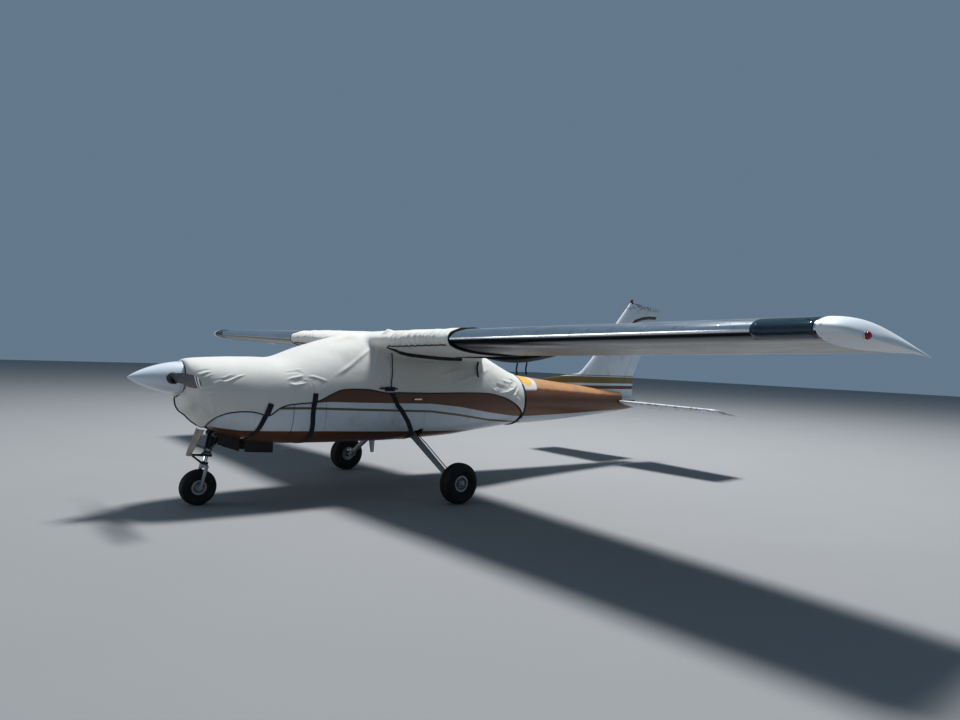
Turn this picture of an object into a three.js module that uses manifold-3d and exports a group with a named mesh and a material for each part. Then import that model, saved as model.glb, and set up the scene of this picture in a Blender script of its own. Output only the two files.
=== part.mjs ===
// A parked single-engined high-wing light aircraft, 8.3 m long and 11 m across, with its fabric cover
// strapped on. Millimetres. X runs from nose to tail, Y to the right-hand wing and Z up; the origin is on
// the ground under the middle.
import * as THREE from "three";
import { mergeVertices } from "three/addons/utils/BufferGeometryUtils.js";
import Module from "manifold-3d";

const wasm = await Module();
wasm.setup();

// Driving dimensions. Stations (s) are measured aft from the spinner's tip.
const LENGTH = 8306;
const SPAN = 11020;
const FIN_TOP = 2620;
const THRUST_Z = 1287;
const GAP = 0.3; // between pieces that touch
const MOVE_GAP = 8; // between pieces that move past each other
const RUN_GAP = 0.14; // between a shaft and its bearing
const rad = THREE.MathUtils.degToRad;
const lerp = THREE.MathUtils.lerp;
const at = (s) => s - LENGTH / 2;

// Fuselage sections: station, top, bottom, half width, height of the widest point, and the roundness of
// the top and of the bottom
const FUSELAGE = [
  { s: 492, top: 1462, bottom: 1075, half: 262, mid: 1285, pTop: 2.0, pBottom: 2.0 },
  { s: 540, top: 1474, bottom: 925, half: 345, mid: 1265, pTop: 2.05, pBottom: 2.0 },
  { s: 760, top: 1493, bottom: 762, half: 452, mid: 1205, pTop: 2.2, pBottom: 2.3 },
  { s: 950, top: 1501, bottom: 690, half: 492, mid: 1170, pTop: 2.3, pBottom: 2.5 },
  { s: 1200, top: 1508, bottom: 625, half: 530, mid: 1130, pTop: 2.4, pBottom: 2.7 },
  { s: 1440, top: 1516, bottom: 605, half: 560, mid: 1100, pTop: 2.5, pBottom: 2.8 },
  { s: 1740, top: 1638, bottom: 596, half: 588, mid: 1080, pTop: 2.4, pBottom: 2.9 },
  { s: 2080, top: 1748, bottom: 590, half: 604, mid: 1070, pTop: 2.4, pBottom: 3.0 },
  { s: 2400, top: 1822, bottom: 586, half: 610, mid: 1065, pTop: 2.5, pBottom: 3.0 },
  { s: 2800, top: 1846, bottom: 583, half: 610, mid: 1060, pTop: 2.7, pBottom: 3.0 },
  { s: 3650, top: 1782, bottom: 605, half: 573, mid: 1052, pTop: 2.7, pBottom: 2.7 },
  { s: 4080, top: 1690, bottom: 641, half: 526, mid: 1048, pTop: 2.5, pBottom: 2.5 },
  { s: 4650, top: 1455, bottom: 687, half: 440, mid: 1042, pTop: 2.2, pBottom: 2.3 },
  { s: 4850, top: 1396, bottom: 698, half: 408, mid: 1038, pTop: 2.1, pBottom: 2.2 },
  { s: 5450, top: 1327, bottom: 715, half: 325, mid: 1025, pTop: 2.1, pBottom: 2.1 },
  { s: 6200, top: 1252, bottom: 755, half: 242, mid: 1010, pTop: 2.1, pBottom: 2.1 },
  { s: 6950, top: 1175, bottom: 803, half: 168, mid: 990, pTop: 2.1, pBottom: 2.1 },
  { s: 7400, top: 1130, bottom: 845, half: 118, mid: 985, pTop: 2.1, pBottom: 2.1 },
  { s: 7620, top: 1106, bottom: 875, half: 84, mid: 985, pTop: 2.1, pBottom: 2.1 },
];
const COWL = { front: 492, back: 1440, wall: 12 };
const CABIN = { front: 1440, back: 4650, wall: 30 };
const TAILCONE = { front: 4650, back: 7620, wall: 9, closedFrom: 7190 };

// Wing planform: the leading edge sweeps back a little and the trailing edge forward
const WING = {
  rootY: 620, tipY: 5260, endY: SPAN / 2,
  leadAtCentre: 2375, leadSlope: 0.035, trailAtCentre: 4058, trailSlope: -0.05,
  trailZ: 1609, dihedral: 0.0266,
  rootAngle: 4.4, tipAngle: 5.0, rootThick: 0.15, tipThick: 0.148, camber: 0.02, camberAt: 0.4,
};
const HINGE_AT = 0.72; // share of the chord where the flaps and ailerons turn
const FLAP = { from: 630, to: 3440 };
const AILERON = { from: 3454, to: 5246 };
const TIP_SECTIONS = [ // y, how far the nose moves aft, thickness left, droop
  { y: WING.tipY + GAP, aft: 0, thick: 1, droop: 0 },
  { y: 5330, aft: 4, thick: 0.97, droop: 3 },
  { y: 5400, aft: 26, thick: 0.87, droop: 10 },
  { y: 5450, aft: 75, thick: 0.7, droop: 22 },
  { y: 5482, aft: 155, thick: 0.5, droop: 33 },
  { y: 5502, aft: 250, thick: 0.31, droop: 41 },
  { y: WING.endY, aft: 360, thick: 0.15, droop: 46 },
];
// The lens over the lamps: its depth at a height below the wing's nose, and how far its back leans
const LENS = { from: 4850, to: 5248, depth: 95, below: 50, lean: 0.42, wall: 6 };

const FIN = { // the fin's leading edge, hinge line and the rudder's trailing edge, as (s, z)
  leadLow: [6614, 1668], leadHigh: [7524, FIN_TOP],
  hingeLow: [7315, 1140], hingeHigh: [7985, 2577],
  trailLow: [7655, 1400], trailHigh: [LENGTH, 2547],
  footZ: 1036, thick: 0.085, rudderFoot: 1030, top: 2640, cap: 2602,
};
const STABILATOR = {
  rootY: 172, tipY: 1800, leadRoot: 7095, leadTip: 7185, trailRoot: 7950, trailTip: 7830,
  z: 956, thick: 0.085, hingeS: 7370, angle: 9.5, tubeR: 28, ventS: 7600,
};

const SPINNER = { length: 480, radius: 162 };
const PROP = { s: 370, radius: 990 };
const MAIN_WHEEL = { s: 3060, y: 1258, r: 222, half: 80, bead: 76, rimHalf: 55, bore: 26, axle: 20 };
const NOSE_WHEEL = { s: 692, y: 0, r: 180, half: 62, bead: 63, rimHalf: 44, bore: 20, axle: 14 };
const STRUT = { s: 704, z: 180, rake: 0.193, crown: 212, pistonTo: 350, legFrom: 318, legTo: 600 };

const DORSAL = [ // station, top, half width
  { s: 5560, top: 1338, half: 5 }, { s: 5900, top: 1382, half: 16 }, { s: 6250, top: 1418, half: 24 },
  { s: 6327, top: 1432, half: 27 }, { s: 6450, top: 1520, half: 30 }, { s: 6614, top: 1668, half: 30 },
  { s: 6700, top: 1700, half: 22 },
];
const BLADE = [ // distance along the blade, chord, thickness, twist away from the disc's plane
  { y: 0, chord: 78, thick: 78, twist: 60 }, { y: 150, chord: 78, thick: 72, twist: 60 },
  { y: 240, chord: 104, thick: 44, twist: 52 }, { y: 400, chord: 146, thick: 24, twist: 38 },
  { y: 620, chord: 150, thick: 16, twist: 28 }, { y: 850, chord: 124, thick: 11, twist: 20 },
  { y: 955, chord: 96, thick: 8, twist: 17 }, { y: PROP.radius, chord: 34, thick: 5, twist: 16 },
];
const STRAPS = [ // top and foot as (s, z)
  { name: "strap_front", top: [1186, 1010], foot: [1080, 640], half: 19 },
  { name: "strap_middle", top: [1652, 1130], foot: [1660, 620], half: 19 },
  { name: "strap_door", top: [2545, 1195], foot: [2955, 640], half: 19 },
  { name: "strap_aft", top: [4786, 780], foot: [4790, 690], half: 19 },
];
const COVER = { inner: 6, outer: 13, tightFrom: 4790, end: 4825 };
// The cover's lower hem, seen from the side: station, height
const HEM = [
  [400, 500], [600, 500], [693, 770], [688, 859], [728, 921], [805, 963], [921, 980], [1044, 976],
  [1148, 945], [1202, 931], [1237, 965], [1299, 1019], [1378, 1046], [1629, 1067], [1715, 1092],
  [1814, 1146], [1939, 1203], [2067, 1213], [2310, 1202], [2524, 1165], [2652, 1173], [3128, 1163],
  [3675, 1165], [4052, 1156], [4325, 1108],
  [4558, 1030], [4727, 931], [4812, 846], [4818, 600], [COVER.end, 600], [COVER.end, 2100], [400, 2100],
];
const SLEEVE = { leadY: 1800, midY: 1720, trailY: 1700, flapFrom: 3440 };

// Solids from rings and outlines
const solidOf = (geometry) => {
  const g = geometry.index ? geometry.toNonIndexed() : geometry.clone();
  for (const name of Object.keys(g.attributes)) if (name !== "position") g.deleteAttribute(name);
  const merged = mergeVertices(g, 1e-3);
  const build = (triVerts) => new wasm.Manifold(new wasm.Mesh({
    numProp: 3, vertProperties: merged.attributes.position.array, triVerts,
  }));
  const faces = new Uint32Array(merged.index.array);
  const made = build(faces);
  return made.volume() > 0 ? made : build(faces.reverse()); // faces always point outwards
};

const geometryOf = (solid) => {
  const m = solid.getMesh();
  const positions = new Float32Array(m.numVert * 3);
  for (let i = 0; i < m.numVert; i++) {
    positions.set(m.vertProperties.subarray(i * m.numProp, i * m.numProp + 3), i * 3);
  }
  const g = new THREE.BufferGeometry();
  g.setAttribute("position", new THREE.BufferAttribute(positions, 3));
  g.setIndex(new THREE.BufferAttribute(m.triVerts, 1));
  const flat = g.toNonIndexed();
  flat.computeVertexNormals();
  return flat;
};

// Joins rings of equal length into one closed solid. Each ring lies in a plane across `axis`.
function loft(rings, axis) {
  const n = rings[0].length;
  const [u, v] = { x: ["y", "z"], y: ["x", "z"], z: ["x", "y"] }[axis];
  const points = rings.flat();
  const faces = [];
  for (let k = 0; k < rings.length - 1; k++) {
    for (let i = 0; i < n; i++) {
      const j = (i + 1) % n;
      const a = k * n + i, b = k * n + j, c = a + n, d = b + n;
      // the shorter diagonal, so that left and right sides match
      const shorter = points[a].distanceTo(points[d]) < points[b].distanceTo(points[c]) + 1e-6;
      faces.push(...(shorter ? [[a, b, d], [a, d, c]] : [[a, b, c], [b, d, c]]));
    }
  }
  const flat = (ring) => ring.map((p) => new THREE.Vector2(p[u], p[v]));
  for (const k of [0, rings.length - 1]) {
    const outline = flat(rings[k]);
    const caps = THREE.ShapeUtils.triangulateShape(flat(rings[k]), []);
    const area = caps.reduce((sum, t) => sum + THREE.ShapeUtils.area(t.map((i) => outline[i])), 0);
    const sameTurn = area > 0 === THREE.ShapeUtils.area(outline) > 0;
    const wanted = k > 0; // the last ring keeps the sides' turning, the first is turned round
    for (const t of caps) {
      const f = t.map((i) => k * n + i);
      faces.push(sameTurn === wanted ? f : f.reverse());
    }
  }
  const g = new THREE.BufferGeometry();
  g.setAttribute("position", new THREE.Float32BufferAttribute(points.flatMap((p) => [p.x, p.y, p.z]), 3));
  g.setIndex(faces.flat());
  return solidOf(g);
}

const box = (x0, x1, y0, y1, z0, z1) => {
  const g = new THREE.BoxGeometry(x1 - x0, y1 - y0, z1 - z0);
  g.translate((x0 + x1) / 2, (y0 + y1) / 2, (z0 + z1) / 2);
  return solidOf(g);
};

// A solid of an (s, z) outline that runs across from y0 to y1
const sideSlab = (outline, y0, y1) =>
  loft([y0, y1].map((y) => outline.map(([s, z]) => new THREE.Vector3(at(s), y, z))), "y");

// A cylinder between two points
const rod = (a, b, radius, sides = 12, radiusB = radius) => {
  const from = new THREE.Vector3(...a), to = new THREE.Vector3(...b);
  const g = new THREE.CylinderGeometry(radiusB, radius, from.distanceTo(to), sides);
  const turn = new THREE.Quaternion().setFromUnitVectors(
    new THREE.Vector3(0, 1, 0), to.clone().sub(from).normalize());
  g.applyQuaternion(turn);
  g.translate(...from.add(to).multiplyScalar(0.5).toArray());
  return solidOf(g);
};

const mirror = (solid) => solid.mirror([0, 1, 0]);
const join = (...solids) => solids.reduce((a, b) => a.add(b));

// Fuselage sections at any station, by a smooth curve through the table
function sectionAt(s) {
  const rows = FUSELAGE;
  let k = rows.findIndex((r) => r.s > s) - 1;
  if (k === -1) k = 0;
  if (k < 0) k = rows.length - 2;
  const a = rows[k], b = rows[k + 1];
  const before = rows[Math.max(k - 1, 0)], after = rows[Math.min(k + 2, rows.length - 1)];
  const t = (s - a.s) / (b.s - a.s);
  const out = { s };
  for (const key of ["top", "bottom", "half", "mid", "pTop", "pBottom"]) {
    const m0 = ((b[key] - before[key]) / (b.s - before.s)) * (b.s - a.s);
    const m1 = ((after[key] - a[key]) / (after.s - a.s)) * (b.s - a.s);
    const t2 = t * t, t3 = t2 * t;
    out[key] = (2 * t3 - 3 * t2 + 1) * a[key] + (t3 - 2 * t2 + t) * m0
      + (-2 * t3 + 3 * t2) * b[key] + (t3 - t2) * m1;
  }
  return out;
}

const RING = 24;
const HOLLOW_RING = 12; // the inside of a shell is plainer
function fuselageRing(s, offset, x = at(s), sides = RING) {
  const q = sectionAt(s);
  const ring = [];
  for (let i = 0; i < sides; i++) {
    const angle = (2 * Math.PI * i) / sides;
    const c = Math.cos(angle), n = Math.sin(angle);
    const p = n > 0 ? q.pTop : q.pBottom;
    const rise = n > 0 ? q.top - q.mid : q.mid - q.bottom;
    const y = (q.half + offset) * Math.sign(c) * Math.abs(c) ** (2 / p);
    const z = q.mid + (rise + offset) * Math.sign(n) * Math.abs(n) ** (2 / p);
    ring.push(new THREE.Vector3(x, y, z));
  }
  return ring;
}

// A solid of the fuselage's form between two stations, grown or shrunk by offset
function fuselageSolid(front, back, offset, reach = 0, sides = RING) {
  const inner = FUSELAGE.map((r) => r.s).filter((s) => s > front + 20 && s < back - 20);
  const rings = [front, ...inner, back].map((s) => fuselageRing(s, offset, at(s), sides));
  if (reach) {
    rings[0].forEach((p) => (p.x -= reach));
    rings.at(-1).forEach((p) => (p.x += reach));
  }
  return loft(rings, "x");
}

// Wing sections
function wingAt(y) {
  const a = Math.abs(y), share = (a - WING.rootY) / (WING.tipY - WING.rootY);
  const lead = WING.leadAtCentre + WING.leadSlope * a;
  const chord = WING.trailAtCentre + WING.trailSlope * a - lead;
  const angle = rad(lerp(WING.rootAngle, WING.tipAngle, share));
  const trailZ = WING.trailZ + WING.dihedral * a;
  return { lead, chord, angle, leadZ: trailZ + chord * Math.tan(angle),
    thick: lerp(WING.rootThick, WING.tipThick, share) };
}

const halfThick = (x, t) => 5 * t * (0.2969 * Math.sqrt(x) - 0.126 * x - 0.3516 * x ** 2
  + 0.2843 * x ** 3 - 0.1015 * x ** 4) + 0.0012 * x;
const camberAt = (x) => {
  const m = WING.camber, p = WING.camberAt;
  return x < p ? (m / p ** 2) * (2 * p * x - x * x)
    : (m / (1 - p) ** 2) * (1 - 2 * p + 2 * p * x - x * x);
};

// A point of the wing's section at y: x along the chord and z above the chord line, as shares of the chord
const wingPoint = (w, y, x, z) => new THREE.Vector3(
  at(w.lead) + w.chord * (x * Math.cos(w.angle) + z * Math.sin(w.angle)), y,
  w.leadZ + w.chord * (z * Math.cos(w.angle) - x * Math.sin(w.angle)));

const spread = (n, from = 0, to = 1) =>
  Array.from({ length: n }, (_, i) => from + (to - from) * (1 - Math.cos((Math.PI * i) / (n - 1))) / 2);

// The whole section, grown by grow millimetres all round
function wholeSection(y, grow = 0, w = wingAt(y), count = 11, end = 1) {
  const xs = spread(count, 0, end);
  const g = grow / w.chord;
  const scaled = (x) => x * (1 + 2 * g) - g;
  const lift = (x) => (x > 0 ? g : 0);
  const upper = xs.map((x) => wingPoint(w, y, scaled(x), camberAt(x) + halfThick(x, w.thick) + lift(x)));
  const lower = xs.slice(1).map((x) => wingPoint(w, y, scaled(x), camberAt(x) - halfThick(x, w.thick) - g));
  return [...upper.reverse(), ...lower];
}

const nose = (w) => ({ z: camberAt(HINGE_AT), r: halfThick(HINGE_AT, w.thick) });
const arc = (from, to, n) => Array.from({ length: n }, (_, i) => rad(lerp(from, to, i / (n - 1))));

// The fixed part of the section, which ends in a round cove ahead of the hinge
function fixedSection(y) {
  const w = wingAt(y), h = nose(w), r = h.r + MOVE_GAP / w.chord;
  const reach = Math.acos(Math.min(1, h.r / r)) * (180 / Math.PI);
  const end = HINGE_AT - r * Math.sin(rad(reach));
  const xs = spread(10, 0, end);
  const upper = xs.map((x) => wingPoint(w, y, x, camberAt(x) + halfThick(x, w.thick)));
  const lower = xs.slice(1).map((x) => wingPoint(w, y, x, camberAt(x) - halfThick(x, w.thick)));
  const cove = arc(270 - reach, 90 + reach, 9).slice(1, -1).map((a) =>
    wingPoint(w, y, HINGE_AT + r * Math.cos(a), h.z + r * Math.sin(a)));
  return [...upper.reverse(), ...lower, ...cove];
}

// A flap's or aileron's section, with its round nose on the hinge line
function movingSection(y) {
  const w = wingAt(y), h = nose(w);
  const xs = spread(5, HINGE_AT, 1).slice(1);
  const upper = xs.map((x) => wingPoint(w, y, x, camberAt(x) + halfThick(x, w.thick)));
  const lower = xs.map((x) => wingPoint(w, y, x, camberAt(x) - halfThick(x, w.thick)));
  const front = arc(90, 270, 9).map((a) =>
    wingPoint(w, y, HINGE_AT + h.r * Math.cos(a), h.z + h.r * Math.sin(a)));
  return [...upper.reverse(), ...front, ...lower];
}

// The fin and rudder: sections across Z
const onLine = ([s0, z0], [s1, z1], z) => s0 + ((s1 - s0) * (z - z0)) / (z1 - z0);
function finAt(z) {
  const hinge = onLine(FIN.hingeLow, FIN.hingeHigh, z);
  const lead = onLine(FIN.leadLow, FIN.leadHigh, z);
  const trail = z > FIN.trailLow[1] ? onLine(FIN.trailLow, FIN.trailHigh, z) : FIN.trailLow[0] - 12;
  const chord = trail - lead;
  const x = (hinge - lead) / chord;
  return { hinge, lead, trail, chord, r: chord * halfThick(x, FIN.thick) };
}
function finRing(z) {
  const f = finAt(z), r = f.r + MOVE_GAP;
  const reach = Math.acos(f.r / r) * (180 / Math.PI);
  const end = (f.hinge - r * Math.sin(rad(reach)) - f.lead) / f.chord;
  const xs = spread(7, 0, end);
  const side = (k) => xs.map((x) =>
    new THREE.Vector3(at(f.lead + x * f.chord), k * f.chord * halfThick(x, FIN.thick), z));
  const cove = arc(270 - reach, 90 + reach, 9).slice(1, -1).map((a) =>
    new THREE.Vector3(at(f.hinge + r * Math.cos(a)), r * Math.sin(a), z));
  return [...side(1).reverse(), ...side(-1).slice(1), ...cove];
}
function rudderRing(z) {
  const f = finAt(z);
  const front = arc(90, 270, 7).map((a) =>
    new THREE.Vector3(at(f.hinge + f.r * Math.cos(a)), f.r * Math.sin(a), z));
  const tail = 2;
  const mid = lerp(f.hinge, f.trail, 0.5);
  return [...front, new THREE.Vector3(at(mid), -f.r * 0.55, z), new THREE.Vector3(at(f.trail), -tail, z),
    new THREE.Vector3(at(f.trail), tail, z), new THREE.Vector3(at(mid), f.r * 0.55, z)];
}

// Materials
const paint = (color, roughness = 0.4, metalness = 0) =>
  new THREE.MeshStandardMaterial({ color, roughness, metalness });
const MATERIAL = {
  white: paint(0xd9dde0), metal: paint(0xb9c0c8, 0.18, 1),
  steel: paint(0x83868a, 0.4, 1), dark: paint(0x222428, 0.6), tyre: paint(0x151515, 0.85),
  cloth: paint(0xd8d5ca, 0.9), webbing: paint(0x14161c, 0.85), glass: paint(0x9fb4bf, 0.08),
  red: paint(0xa01818, 0.15), iron: paint(0x55585c, 0.6, 1), blade: paint(0x33363b, 0.45, 0.4),
};
const aircraft = new THREE.Group();
function add(name, solid, material) {
  const mesh = new THREE.Mesh(geometryOf(solid), MATERIAL[material]);
  mesh.name = name;
  aircraft.add(mesh);
}
function addPair(name, rightSolid, material) {
  add(name + "_right", rightSolid, material);
  add(name + "_left", mirror(rightSolid), material);
}

// Fuselage: cowling, cabin and tailcone shells, split where the real panels meet
const wingEnvelope = loft([-WING.rootY - 60, -1, 1, WING.rootY + 60].map((y) => wholeSection(y, 0.6)), "y");
const PANEL = 3; // gap round doors and windows
const DOOR = [[1800, 720], [1786, 1060], [1850, 1300], [2150, 1560], [2330, 1600], [3000, 1590], [3040, 1500],
  [3046, 760], [3000, 720]];
const DOOR_WINDOW = [[1935, 1235], [2230, 1510], [2360, 1545], [2950, 1535], [2965, 1235]];
const REAR_WINDOW = [[3130, 1235], [3130, 1500], [3520, 1480], [3830, 1360], [3880, 1235]];
const WINDSHIELD = [[1500, 1462], [1500, 1900], [2290, 1900], [2290, 1712], [2130, 1620], [1830, 1440],
  [1620, 1425]];

// An outline moved outwards by d at its corners, for clearances
function grown(outline, d) {
  const n = outline.length;
  const turn = Math.sign(THREE.ShapeUtils.area(outline.map(([a, b]) => new THREE.Vector2(a, b))));
  return outline.map((p, i) => {
    const a = outline[(i + n - 1) % n], b = outline[(i + 1) % n];
    const u = new THREE.Vector2(p[0] - a[0], p[1] - a[1]).normalize();
    const v = new THREE.Vector2(b[0] - p[0], b[1] - p[1]).normalize();
    const k = (d * turn) / (1 + u.dot(v));
    return [p[0] + (u.y + v.y) * k, p[1] - (u.x + v.x) * k];
  });
}

const cabinSkin = fuselageSolid(CABIN.front + 8, CABIN.back, 0);
const cabinHollow = fuselageSolid(CABIN.front + 8, CABIN.back, -CABIN.wall, 5, HOLLOW_RING);
const cabinWall = cabinSkin.subtract(cabinHollow).subtract(wingEnvelope);
const doorHole = sideSlab(grown(DOOR, PANEL), 300, 800);
const glassSkin = fuselageSolid(CABIN.front + 8, CABIN.back, -4)
  .subtract(fuselageSolid(CABIN.front + 8, CABIN.back, -11, 5)).subtract(wingEnvelope);
const rearHole = sideSlab(grown(REAR_WINDOW, PANEL), 300, 800);
const screenHole = sideSlab(grown(WINDSHIELD, PANEL), -700, 700);
let cabin = cabinWall.subtract(screenHole);
for (const hole of [doorHole, rearHole]) cabin = cabin.subtract(hole).subtract(mirror(hole));
const legHole = box(at(2960), at(3090), 345, 560, 500, 740);
const legHoles = join(legHole, mirror(legHole));
cabin = cabin.subtract(legHoles);
add("cabin_shell", cabin, "white");

const door = cabinWall.intersect(sideSlab(DOOR, 300, 800));
const doorWindowHole = sideSlab(grown(DOOR_WINDOW, PANEL), 300, 800);
addPair("cabin_door", door.subtract(doorWindowHole), "white");
addPair("door_window", glassSkin.intersect(sideSlab(grown(DOOR_WINDOW, PANEL - GAP), 300, 800)), "glass");
addPair("rear_window", glassSkin.intersect(sideSlab(grown(REAR_WINDOW, PANEL - GAP), 300, 800)), "glass");
add("windshield", glassSkin.intersect(sideSlab(grown(WINDSHIELD, PANEL - GAP), -700, 700)), "glass");

add("firewall", loft([CABIN.front + GAP, CABIN.front + 8 - GAP]
  .map((s) => fuselageRing(CABIN.front, -2, at(s))), "x"), "steel");

const noseBay = { from: 600, to: 1425, half: 128 };
const cowl = fuselageSolid(COWL.front, COWL.back, 0)
  .subtract(fuselageSolid(COWL.front + 16, COWL.back, -COWL.wall, 5, HOLLOW_RING))
  .subtract(rod([at(COWL.front) - 50, 0, THRUST_Z], [at(COWL.front) + 90, 0, THRUST_Z], 100, 24))
  .subtract(box(at(400), at(560), 150, 225, 1225, 1330))
  .subtract(box(at(400), at(560), -225, -150, 1225, 1330))
  .subtract(box(at(noseBay.from), at(noseBay.to), -noseBay.half, noseBay.half, 500, 900));
add("cowling", cowl, "white");
add("engine_block", join(
  box(at(720), at(960), -310, 310, 1010, 1360), box(at(900), at(1390), -370, 370, 1010, 1355),
  rod([at(484.3), 0, THRUST_Z], [at(740), 0, THRUST_Z], 70, 14),
  ...[-210, 210].map((y) => rod([at(1380), y, 1080], [at(1440), y, 1080], 22, 10))), "iron");

const stabTubeHole = rod([at(STABILATOR.hingeS), -200, STABILATOR.z],
  [at(STABILATOR.hingeS), 200, STABILATOR.z], STABILATOR.tubeR + RUN_GAP, 48);
const rudderNotch = sideSlab([[7208, 1008], [7345, 1301], [7800, 1301], [7800, 1008]], -200, 200);
const hingeLine = (z) => [at(onLine(FIN.hingeLow, FIN.hingeHigh, z)), 0, z];
const rudderPost = rod(hingeLine(985), hingeLine(1026), 15, 16);
add("tailcone", fuselageSolid(TAILCONE.front + GAP, TAILCONE.back, 0)
  .subtract(fuselageSolid(TAILCONE.front, TAILCONE.closedFrom, -TAILCONE.wall, 1, HOLLOW_RING))
  .subtract(stabTubeHole).subtract(rudderNotch).add(rudderPost), "white");

// Wings
// The space between the skins at y, from share to share of the chord
function hollowRing(y, shares, wall) {
  const w = wingAt(y);
  const depth = (x) => halfThick(x, w.thick) - wall / w.chord;
  const row = (k) => shares.map((x) => wingPoint(w, y, x, camberAt(x) + k * depth(x)));
  return [...row(1).reverse(), ...row(-1)];
}
const hollow = (ys, shares, wall) => loft(ys.map((y) => hollowRing(y, shares, wall)), "y");
add("wing_centre", loft([-WING.rootY, -1, 1, WING.rootY].map((y) => wholeSection(y)), "y")
  .subtract(hollow([-WING.rootY - 10, -1, 1, WING.rootY + 10], [0.04, 0.12, 0.3, 0.5, 0.66], 12)), "metal");
const wingPanel = loft([WING.rootY + GAP, 1700, 3200, LENS.from, WING.tipY].map(fixedSection), "y");
const wingHollow = hollow([WING.rootY - 20, LENS.from - 80], [0.04, 0.12, 0.3, 0.5, 0.64], 8);
const lensBlock = (inset) => {
  const y0 = LENS.from + inset, y1 = LENS.to - inset;
  return loft([y0, y1].map((y) => {
    const w = wingAt(y), front = at(w.lead);
    const back = (z) => front + LENS.depth + LENS.lean * (z - w.leadZ + LENS.below) - inset;
    return [[front - 60, 1700], [back(1700), 1700], [back(2200), 2200], [front - 60, 2200]]
      .map(([x, z]) => new THREE.Vector3(x, y, z));
  }), "y");
};
const lensEnvelope = (grow) =>
  loft([LENS.from - 100, WING.tipY].map((y) => wholeSection(y, grow, wingAt(y), 9, 0.4)), "y");
addPair("wing", wingPanel.subtract(wingHollow).subtract(lensBlock(0)), "metal");
addPair("landing_lens", lensEnvelope(0).intersect(lensBlock(GAP)).subtract(lensEnvelope(-LENS.wall)),
  "glass");
const hingePoint = (y) => wingPoint(wingAt(y), y, HINGE_AT, nose(wingAt(y)).z).toArray();
const pin = (y0, y1) => rod(hingePoint(y0 - 3), hingePoint(y1 + 3), 8, 10)
  .intersect(box(at(2000), at(5000), y0, y1, 1000, 2500));
const movingShares = [HINGE_AT, 0.78, 0.86];
addPair("flap", join(loft([FLAP.from, 1700, FLAP.to].map(movingSection), "y")
  .subtract(hollow([FLAP.from + 40, FLAP.to + 10], movingShares, 4)),
  pin(WING.rootY + GAP, FLAP.from + 20)), "white");
addPair("aileron", join(loft([AILERON.from, 4400, AILERON.to].map(movingSection), "y")
  .subtract(hollow([AILERON.from - 10, AILERON.to - 40], movingShares, 4)),
  pin(AILERON.to - 20, TIP_SECTIONS[0].y - GAP)), "white");
const tipRing = (row) => {
  const w = wingAt(row.y);
  const shrunk = { ...w, lead: w.lead + row.aft, chord: w.chord - row.aft, thick: w.thick * row.thick,
    leadZ: w.leadZ - row.aft * Math.tan(w.angle) - row.droop };
  return wholeSection(row.y, 0, shrunk);
};
const navPad = { s: 2735, y: 5484, z: 1816 };
const tip = loft(TIP_SECTIONS.map(tipRing), "y");
addPair("wing_tip", tip, "white");
addPair("nav_light", solidOf(new THREE.SphereGeometry(26, 12, 8).scale(1.2, 0.9, 0.95)
  .translate(at(navPad.s), navPad.y, navPad.z)).subtract(tip.translate([0, GAP, 0])).subtract(tip), "red");

// Fin, rudder and stabilator
const finOutline = sideSlab([
  [5000, 900], [5000, 1700], [6900, 1900], [7400, 2560], [7440, 2584], [7524, FIN.cap],
  [LENGTH + 30, 2545], [LENGTH + 30, 900]], -200, 200);
const dorsal = loft(DORSAL.map((d) => [
  [-d.half * 1.5, 1080], [-d.half, lerp(1080, d.top, 0.8)], [-d.half * 0.4, d.top],
  [d.half * 0.4, d.top], [d.half, lerp(1080, d.top, 0.8)], [d.half * 1.5, 1080],
].map(([y, z]) => new THREE.Vector3(at(d.s), y, z))), "x");
const tailSkin = fuselageSolid(5300, TAILCONE.back, GAP);
const finHollow = loft([FIN.footZ - 10, 1800, 2540].map((z) => {
  const f = finAt(z), end = (f.hinge - f.r - 30 - f.lead) / f.chord;
  const row = (k) => [0.08, 0.3, end].map((x) =>
    new THREE.Vector3(at(f.lead + x * f.chord), k * (f.chord * halfThick(x, FIN.thick) - 5), z));
  return [...row(1).reverse(), ...row(-1)];
}), "z");
add("fin", join(loft([FIN.footZ, 1400, 1800, 2200, FIN.top].map(finRing), "z"), dorsal)
  .intersect(finOutline).subtract(finHollow).subtract(tailSkin), "white");
const rudderHollow = loft([FIN.rudderFoot - 10, FIN.trailLow[1], 2500].map((z) => {
  const f = finAt(z), across = (share) => at(lerp(f.hinge, f.trail, share));
  const row = (k) => [[0, f.r - 4], [0.4, f.r * 0.62 - 4], [0.6, f.r * 0.42 - 3]].map(([share, half]) =>
    new THREE.Vector3(across(share), k * half, z));
  return [...row(1).reverse(), ...row(-1)];
}), "z");
add("rudder", loft([FIN.rudderFoot, FIN.trailLow[1], 2000, FIN.top].map(rudderRing), "z")
  .intersect(finOutline).subtract(rudderHollow)
  .subtract(rod(hingeLine(1000), hingeLine(1036), 40, 16))
  .add(rod(hingeLine(1026 + GAP), hingeLine(1060), 15, 16)), "white");
// Radius and height
const beaconProfile = [[0, -30], [22, -30], [22, 8], [25, 12], [25, 46], [20, 60], [10, 68], [0, 70]];
add("beacon", solidOf(new THREE.LatheGeometry(beaconProfile.map(([r, z]) => new THREE.Vector2(r, z)), 16)
  .rotateX(Math.PI / 2).translate(at(7547), 0, FIN.cap - 3))
  .subtract(finOutline.translate([0, 0, GAP])), "red");

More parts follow.
